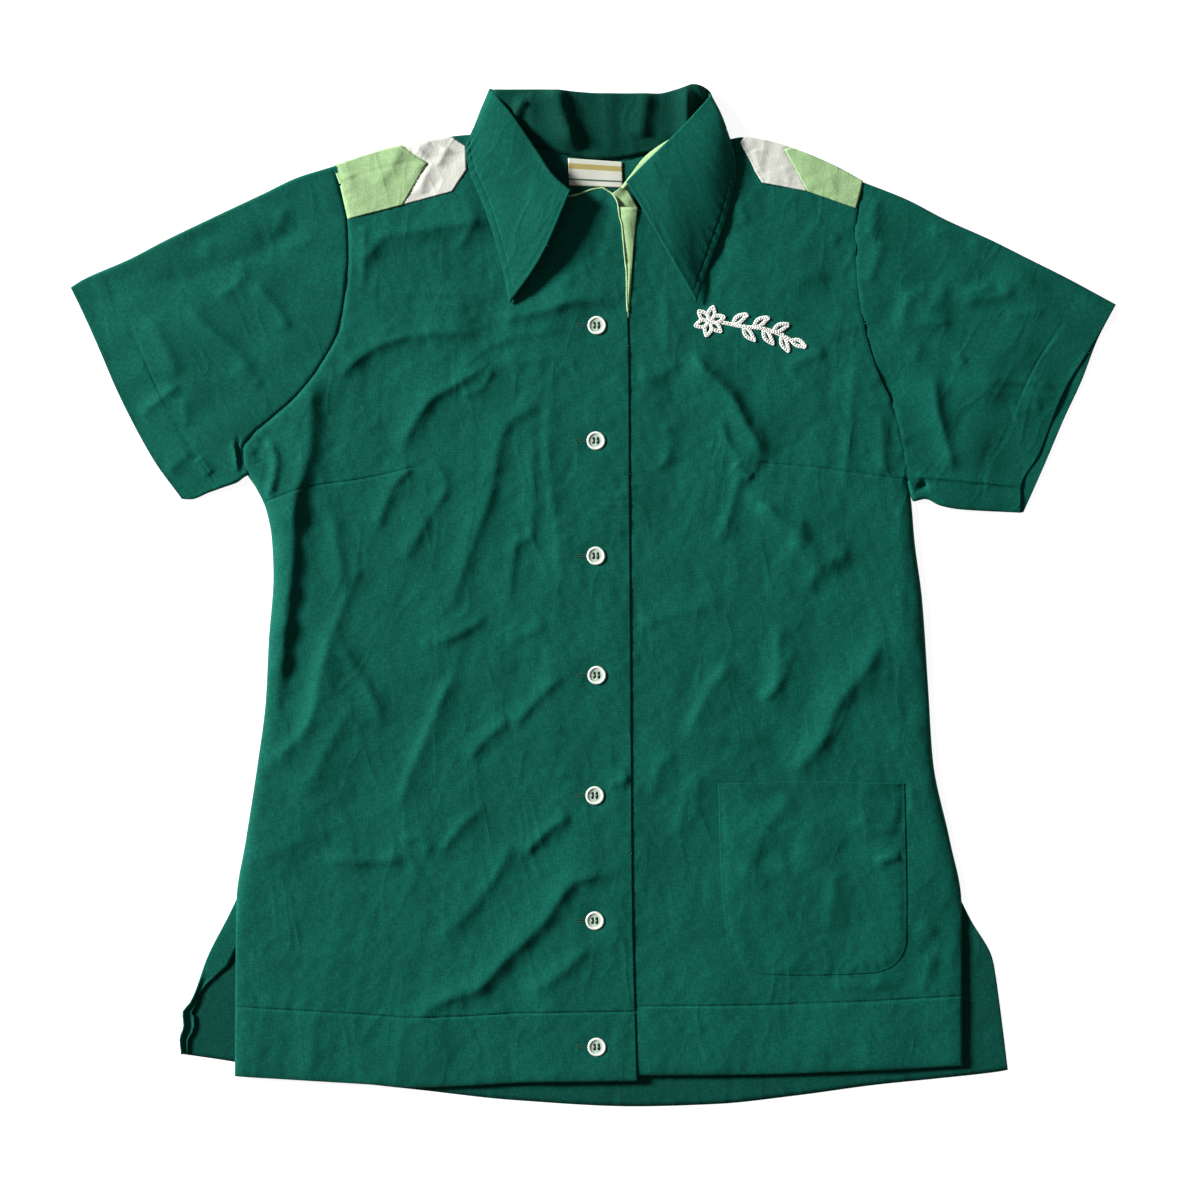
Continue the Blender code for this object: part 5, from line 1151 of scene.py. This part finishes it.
share = np.linspace(0.0, 1.0, 15)[:-1, None, None]
stand = neck + share * (middle - ROLL_RADIUS * face - neck)
angle = np.linspace(-math.pi / 2, math.pi / 2, 9)[:, None, None]
rolled = middle + ROLL_RADIUS * (np.cos(angle) * inward + np.sin(angle) * face)
share = graded(0.060, [0.054, 0.057], 0.003, 0.0022, 0.0007)[1:, None, None]
start = middle + ROLL_RADIUS * face
crown = FALL_CROWN + (LEFT_CROWN - FALL_CROWN) * ease(roll[:, :1], -0.02, 0.02)
bulge = crown * np.clip(1.0 - turn, 0.0, 1.0) * np.sin(math.pi * share)
fall = start + share * (edge - start) + bulge * face
at_end = np.exp(-(runs(edge) / 0.022) ** 2)[:, None] * np.sin(math.pi * share**1.15)
fall += at_end * RIGHT_END_BOW
shape = np.concatenate([stand, rolled, fall])

normal = np.cross(np.gradient(shape, axis=0), np.gradient(shape, axis=1))
normal /= np.linalg.norm(normal, axis=-1)[..., None] + 1e-12
normal *= np.sign(normal[len(stand) + 20, 10, 2])  # so that the right side of the fall faces up
from_edge = (1 - share[..., 0]) * np.linalg.norm(edge - start, axis=1)
along_edge = runs(edge)
from_end = np.minimum(along_edge, along_edge[-1] - along_edge)
gap = np.minimum(from_edge, from_end)
relief = groove(gap - TOPSTITCH, 0.0003, 0.0007)
beside = np.abs(gap - TOPSTITCH)
relief += puckers(beside, np.broadcast_to(along_edge, gap.shape), 91, 0.00018, 0.005, 0.005)
relief += rumple(fall[..., :2], 92, 0.00022, 0.020, 0.060)
lift = np.concatenate([np.zeros((len(stand) + len(rolled), len(rows))), relief])
shape += normal * lift[..., None]
shape[..., 2] = np.maximum(shape[..., 2], COLLAR_LOW)
inner = shape[:len(stand) + len(rolled)]
behind = ease(turn[:, 0], 1.5, 2.0) * ease(np.linspace(0, 1, len(inner)), 0.0, 0.2)[:, None]
inner[..., 2] += behind * creases(inner[..., :2], NECK_CREASES, 93, 0.12)
steps = np.linalg.norm(np.diff(shape, axis=0), axis=-1)
across = np.concatenate([np.zeros((1, len(rows))), np.cumsum(steps, axis=0)])
flat = np.stack([np.broadcast_to(along_edge, across.shape), across], axis=-1)
collar = cloth("collar_cloth", [shape], dark_poplin, thickness=0.0009, maps=[flat])
# The stand gets a darker copy of the poplin: painted shade for the hollow inside the neck, behind the
# roll.
collar.data.materials.append(poplin("poplin_dark_green_painted_shade", "023a2e", "033f33", "06493d"))
looks = np.zeros(len(collar.data.polygons), int)
looks[:(len(stand) + 3) * (len(rows) - 1)] = 1  # the stand is darker, up to just below the roll
collar.data.polygons.foreach_set("material_index", looks)
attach(collar, "root")
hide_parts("collar")

# ---------------------------------------------------------------------------------------------------
# Buttons. Seven four-hole polyester buttons turned from pearly sheet, with a near-white raised rim
# round a greenish, translucent middle. Each is sewn on with two upright bars of dark green thread.
# ---------------------------------------------------------------------------------------------------
BUTTON_RADIUS, BUTTON_HEIGHT = 0.0060, 0.0016
BUTTON_Z = FRONT_Z + LAP - BUTTON_DIMPLE + 0.0003  # its underside
HOLE_RADIUS, HOLE_OFFSET = 0.0009, 0.0014
BAR_LENGTH, BAR_THREAD = 0.0044, 0.00022
PROFILE = [  # radius and height, as shares of the button's, from its underside round to its middle
    (0.00, 0.00), (0.60, 0.00), (0.80, 0.06), (0.94, 0.22), (1.00, 0.42), (1.00, 0.62),
    (0.975, 0.84), (0.92, 0.96), (0.86, 1.00), (0.80, 0.96), (0.755, 0.82), (0.72, 0.70),
    (0.66, 0.64), (0.50, 0.61), (0.00, 0.60),
]


def lathe(profile, sides):
    """Points and faces of a solid turned about Z, from (radius, height) pairs that end on the axis."""
    radius, height = np.array(profile).T
    turns = np.linspace(0.0, 2 * math.pi, sides, endpoint=False)[:, None]
    points = np.stack([radius * np.cos(turns), radius * np.sin(turns),
                       np.broadcast_to(height, (sides, len(radius)))], axis=-1)
    index = np.arange(sides * len(radius)).reshape(sides, -1)
    after = np.roll(index, -1, axis=0)
    quads = np.stack([index[:, :-1], after[:, :-1], after[:, 1:], index[:, 1:]], axis=-1)
    return points.reshape(-1, 3), quads.reshape(-1, 4)


def solid(name, points, faces, material):
    """One mesh object from points and faces, with coinciding points welded and normals outward."""
    data = bpy.data.meshes.new(name)
    data.from_pydata(points, [], faces)
    smoothed(data, 1e-6)
    if material:
        data.materials.append(material)
    return placed(name, data)


# Cast polyester with pearl essence, turned and polished: a soft gloss, slow milky swirls about 3 mm
# long, and a little light in its depth. The rim is whiter, where the turning has thinned the middle.
pearl, shader = new_material("polyester_pearl")
tree = pearl.node_tree
rim = add(tree, "Attribute", attribute_name="rim").outputs["Fac"]
place = add(tree, "TexCoord").outputs["Object"]
swirl = add(tree, "TexNoise", {"Vector": place, "Scale": 1 / 0.003125, "Detail": 2.0, "Distortion": 1.2})
milk = add(tree, "Mix", {0: swirl.outputs["Fac"]}, data_type="RGBA")
milk.inputs[6].default_value = linear("a8c4ae")
milk.inputs[7].default_value = linear("cfe0cf")
tint = add(tree, "Mix", {0: rim, 6: milk.outputs[2]}, data_type="RGBA")
tint.inputs[7].default_value = linear("eef3e6")
tree.links.new(tint.outputs[2], shader.inputs["Base Color"])
shader.inputs["Roughness"].default_value = 0.22
shader.inputs["IOR"].default_value = 1.54
shader.inputs["Subsurface Weight"].default_value = 0.25
shader.inputs["Subsurface Radius"].default_value = (0.002, 0.003, 0.002)
shader.inputs["Subsurface Scale"].default_value = 1.0

blank = solid("blank", *lathe(np.array(PROFILE) * (BUTTON_RADIUS, BUTTON_HEIGHT), 48), None)
cutters = []
for x in (-HOLE_OFFSET, HOLE_OFFSET):
    for y in (-HOLE_OFFSET, HOLE_OFFSET):
        points, faces = lathe([(0, -0.001), (HOLE_RADIUS, -0.001), (HOLE_RADIUS, 0.003), (0, 0.003)], 16)
        cutter = solid("hole", points + (x, y, 0), faces, None)
        cut = blank.modifiers.new("Hole", "BOOLEAN")
        cut.solver = "EXACT"
        cut.object = cutter
        cutters.append(cutter)
bpy.context.view_layer.update()
drilled = bpy.data.meshes.new_from_object(blank.evaluated_get(bpy.context.evaluated_depsgraph_get()))
for helper in (blank, *cutters):
    bpy.data.objects.remove(helper, do_unlink=True)
points = np.empty(len(drilled.vertices) * 3)
drilled.vertices.foreach_get("co", points)
points = points.reshape(-1, 3)
radial = np.linalg.norm(points[:, :2], axis=1) / BUTTON_RADIUS
drilled.attributes.new("rim", "FLOAT", "POINT").data.foreach_set("value", ease(radial, 0.66, 0.76))
drilled.materials.append(pearl)

# Spun polyester sewing thread, darker than the cloth: its own dark green, drawn nearer black as painted
# shade of the grooves and holes that it lies in. It shows as a thin, dull line.
thread_and_painted_shade, shader = new_material("sewing_thread_dark_green_painted_shade")
shader.inputs["Base Color"].default_value = linear("03221b")
shader.inputs["Roughness"].default_value = 0.5
shader.inputs["Specular IOR Level"].default_value = 0.25


def capsule(length, radius, sides=6):
    """Points and faces of one stitch: a rod along X, thickest halfway and rounded to its ends."""
    at = np.linspace(0.0, math.pi, 7)
    profile = np.stack([radius * np.sin(at), -np.cos(at)], axis=1)
    points, faces = lathe(profile, sides)
    x = points[:, 2] * length / 2
    return np.stack([x, points[:, 0], points[:, 1]], axis=1), faces


def copies(template, places, directions):
    """A template repeated at places (x, y, z), its X axis turned along directions (unit, 3-D)."""
    points, faces = template
    side = np.cross([0.0, 0.0, 1.0], directions)
    side /= np.linalg.norm(side, axis=1)[:, None]
    top = np.cross(directions, side)
    axes = np.stack([directions, side, top], axis=1)
    made = np.einsum("pk,nkc->npc", points, axes) + places[:, None]
    index = faces[None] + (np.arange(len(places)) * len(points))[:, None, None]
    return made.reshape(-1, 3), index.reshape(-1, faces.shape[1])


for number, (x, y) in enumerate(BUTTON_PLACES, start=1):
    data = drilled.copy()
    data.vertices.foreach_set("co", (points + (x, y, BUTTON_Z)).ravel())
    data.name = f"button_{number}_pearl"
    button = placed(data.name, data)
    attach(button, "root")
    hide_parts(f"button_{number}")
bars = np.array([
    (x + dx + 0.00026 * k, y, BUTTON_Z + 0.66 * BUTTON_HEIGHT)
    for x, y in BUTTON_PLACES for dx in (-HOLE_OFFSET, HOLE_OFFSET) for k in (-1, 0, 1)
])
upright = np.broadcast_to([0.0, 1.0, 0.0], bars.shape)
threads = solid("button_threads", *copies(capsule(BAR_LENGTH, BAR_THREAD), bars, upright), thread_and_painted_shade)
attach(threads, "root")

# ---------------------------------------------------------------------------------------------------
# Stitches. The lock stitches of the fronts' hems, in dark green thread, and the worked buttonholes,
# in a lighter green twist. All are drawn as rods that lie half sunk in the cloth.
# ---------------------------------------------------------------------------------------------------
STITCH, STITCH_GAP, THREAD = 0.0021, 0.0007, 0.00017


def laid(line, starts, length, height_at, lift):
    """Places and directions of stitches that start at distances `starts` along a line in plan, lifted
    by `lift` from the cloth's middle."""
    ends = [np.stack([np.interp(at, runs(line), column) for column in line.T], axis=1)
            for at in (starts, starts + length)]
    ends = [with_z(end, height_at(end)) for end in ends]
    direction = ends[1] - ends[0] + (1e-9, 0, 0)
    direction /= np.linalg.norm(direction, axis=1)[:, None]
    return (ends[0] + ends[1]) / 2 + (0, 0, lift), direction


def hem_row(hem, towards, height_at):
    """Lock stitches, evenly spaced, `HEM_DEPTH` above the foot of a hem."""
    line = hem + HEM_DEPTH * inward_of(hem, towards)
    length = runs(line)[-1]
    count = int(length / (STITCH + STITCH_GAP))
    starts = (np.arange(count) + 0.5) / count * length - STITCH / 2
    return laid(line, starts, STITCH, height_at, CLOTH / 2)


def stitched(name, template, rows, material):
    """One piece with a copy of the template for each stitch of the rows."""
    places, directions = (np.concatenate(parts) for parts in zip(*rows))
    made = solid(name, *copies(template, places, directions), material)
    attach(made, "root")


hem_rows = [
    hem_row(along(RIGHT_HEM, side_shares)[1:], (-0.1, 0.0), right_height),
    hem_row(along(LEFT_HEM, side_shares)[:-8], (0.1, 0.0), left_height),
]
stitched("hem_stitches", capsule(STITCH, THREAD), hem_rows, thread_and_painted_shade)

# Buttonholes: close-worked stitches on both sides of a slit, with a bar at the end away from the edge
SLIT = (-0.0125, 0.0030)  # from its outer to its inner end, beside the button's middle
WORK_LENGTH, WORK_THREAD, WORK_PITCH = 0.0010, 0.00014, 0.00042
WORK_ASIDE = 0.00075  # from the slit to the middle of the stitches beside it
UPRIGHT, ACROSS = (0.0, 1.0, 0.0), (1.0, 0.0, 0.0)

# Buttonhole twist, a thicker thread in the cloth's own green: the rows show as slightly raised bars
twist, shader = new_material("buttonhole_twist_green")
shader.inputs["Base Color"].default_value = linear("0a5141")
shader.inputs["Roughness"].default_value = 0.6

places, directions = [], []
for x, y in BUTTON_PLACES:
    x_at = np.arange(x + SLIT[0], x + SLIT[1], WORK_PITCH)
    for aside in (-WORK_ASIDE, WORK_ASIDE):
        places.append(np.stack([x_at, np.full(len(x_at), y + aside)], axis=1))
        directions.append(np.tile(UPRIGHT, (len(x_at), 1)))
    bar = y + np.linspace(-0.0008, 0.0008, 5)
    places.append(np.stack([np.full(5, x + SLIT[0] - 0.0003), bar], axis=1))
    directions.append(np.tile(ACROSS, (5, 1)))
places = np.concatenate(places)
places = with_z(places, right_height(places) + CLOTH / 2 + 0.00005)
worked = [(places, np.concatenate(directions))]
stitched("buttonhole_stitches", capsule(WORK_LENGTH, WORK_THREAD, 5), worked, twist)
# Each slit gets a dark rod in the near-black thread colour, sunk a little: painted shade for the open
# slit.
slits = np.array([(x + sum(SLIT) / 2, y) for x, y in BUTTON_PLACES])
slits = with_z(slits, right_height(slits) + CLOTH / 2 - 0.0001)
rods = [(slits, np.tile(ACROSS, (len(slits), 1)))]
stitched("buttonhole_slit_painted_shade", capsule(SLIT[1] - SLIT[0], 0.00018), rods, thread_and_painted_shade)

# ---------------------------------------------------------------------------------------------------
# Embroidery. A leafy sprig in chain stitch on the left chest, worked by machine in thick white
# cotton. Each link is a loop that starts inside the one before it.
# ---------------------------------------------------------------------------------------------------
LINK_LENGTH, LINK_WIDTH, LINK_THREAD, LINK_PITCH = 0.0028, 0.0018, 0.00042, 0.0017
STEM = [
    (0.084, 0.1772), (0.091, 0.1757), (0.0985, 0.1742), (0.1055, 0.1737), (0.112, 0.1727),
    (0.118, 0.1708), (0.1235, 0.1685), (0.1295, 0.1652),
]
FLOWER = np.array([0.0762, 0.1778])
PETALS = 6
LEAVES = [  # base, tip, half width, and bow of the middle line to its left
    ((0.0915, 0.1757), (0.1006, 0.1822), 0.0021, 0.0008),
    ((0.0985, 0.1741), (0.1055, 0.1655), 0.0020, -0.0008),
    ((0.1050, 0.1738), (0.1143, 0.1802), 0.0021, 0.0008),
    ((0.1115, 0.1727), (0.1174, 0.1632), 0.0020, -0.0008),
    ((0.1175, 0.1709), (0.1274, 0.1757), 0.0020, 0.0008),
    ((0.1232, 0.1686), (0.1275, 0.1584), 0.0019, -0.0008),
    ((0.1295, 0.1652), (0.1385, 0.1612), 0.0019, 0.0004),
]


def leaf(base, tip, half, bow):
    """Outline of a leaf: out along one side of its bowed middle line, and back along the other."""
    base, tip = np.array(base), np.array(tip)
    run = tip - base
    aside = np.array([-run[1], run[0]]) / np.linalg.norm(run)
    t = np.linspace(0.0, 1.0, 20)[:, None]
    middle = base + t * run + 4 * bow * t * (1 - t) * aside
    swell = half * np.sin(math.pi * t**0.8)
    return np.concatenate([middle + swell * aside, (middle - swell * aside)[::-1]])


# One link: a ring of round thread, longer than wide and wider at one end, which lies on the last link
turn = np.linspace(0.0, 2 * math.pi, 18, endpoint=False)[:, None]
section = np.linspace(0.0, 2 * math.pi, 6, endpoint=False)[None, :]
thin = LINK_THREAD * (1 + 0.25 * np.cos(turn))
link = np.stack([
    (LINK_LENGTH / 2 + thin * np.cos(section)) * np.cos(turn),
    (LINK_WIDTH / 2 * (1 - 0.25 * np.cos(turn)) + thin * np.cos(section)) * np.sin(turn),
    thin * np.sin(section) + 0.00025 * np.cos(turn) + 0 * section,
], axis=-1)
index = np.arange(18 * 6).reshape(18, 6)
after_turn, after_section = np.roll(index, -1, axis=0), np.roll(index, -1, axis=1)
loop_faces = np.stack([index, after_turn, np.roll(after_turn, -1, axis=1), after_section], axis=-1)

# Soft white cotton in three plies: matt and brighter than all the rest
white_cotton, shader = new_material("chain_stitch_white_cotton")
shader.inputs["Base Color"].default_value = linear("eef0e8")
shader.inputs["Roughness"].default_value = 0.6

lines = [along(STEM, np.linspace(0, 1, 160))]
for angle in np.arange(PETALS) * 2 * math.pi / PETALS + 0.3:
    way = np.array([math.cos(angle), math.sin(angle)])
    lines.append(leaf(FLOWER + 0.0012 * way, FLOWER + 0.0098 * way, 0.0023, 0.0))
lines += [leaf(*row) for row in LEAVES]
chains = [
    laid(line, np.arange(0.0, runs(line)[-1], LINK_PITCH), LINK_PITCH, left_height, CLOTH / 2 + 0.0002)
    for line in lines
]
loop = (link.reshape(-1, 3), loop_faces.reshape(-1, 4))
stitched("sprig_chain_stitch", loop, chains, white_cotton)

# ---------------------------------------------------------------------------------------------------
# Studio. The shirt lies on a pale floor that is lit from below too, under a faint white dome. A large
# soft lamp on its right side rakes across it, and the camera looks straight down.
# ---------------------------------------------------------------------------------------------------
# Matt white paint, lit from below as well, so that it shows as plain white with hardly a shadow
floor_paint, shader = new_material("floor_matt_white")
shader.inputs["Base Color"].default_value = linear("b4b4b4")
shader.inputs["Roughness"].default_value = 0.9
shader.inputs["Specular IOR Level"].default_value = 0.1
shader.inputs["Emission Color"].default_value = linear("ffffff")
shader.inputs["Emission Strength"].default_value = 0.9
data = bpy.data.meshes.new("floor")
data.from_pydata([(-12, -12, 0), (12, -12, 0), (12, 12, 0), (-12, 12, 0)], [], [(0, 1, 2, 3)])
data.materials.append(floor_paint)
placed("floor", data)

scene = bpy.context.scene
scene.view_settings.view_transform = "Standard"
scene.world = bpy.data.worlds.new("dome")
scene.world.use_nodes = True
dome = scene.world.node_tree.nodes["Background"]
dome.inputs["Color"].default_value = linear("ffffff")
dome.inputs["Strength"].default_value = 0.13

data = bpy.data.lights.new("key", "AREA")
data.size = 1.50
data.energy = 1750.0
key = placed("key", data)
place = np.array([-7.00, 2.84, 2.95])
way = np.array([0.05, 0.0, 0.0]) - place  # towards the shirt
key.location = place
key.rotation_euler = (math.atan2(math.hypot(way[0], way[1]), -way[2]), 0.0,
                      math.atan2(way[1], way[0]) - math.pi / 2)

data = bpy.data.cameras.new("camera")
data.lens = 85.0
data.sensor_width = 36.0
scene.camera = placed("camera", data)
scene.camera.location = (0.0049, -0.0029, 1.842)
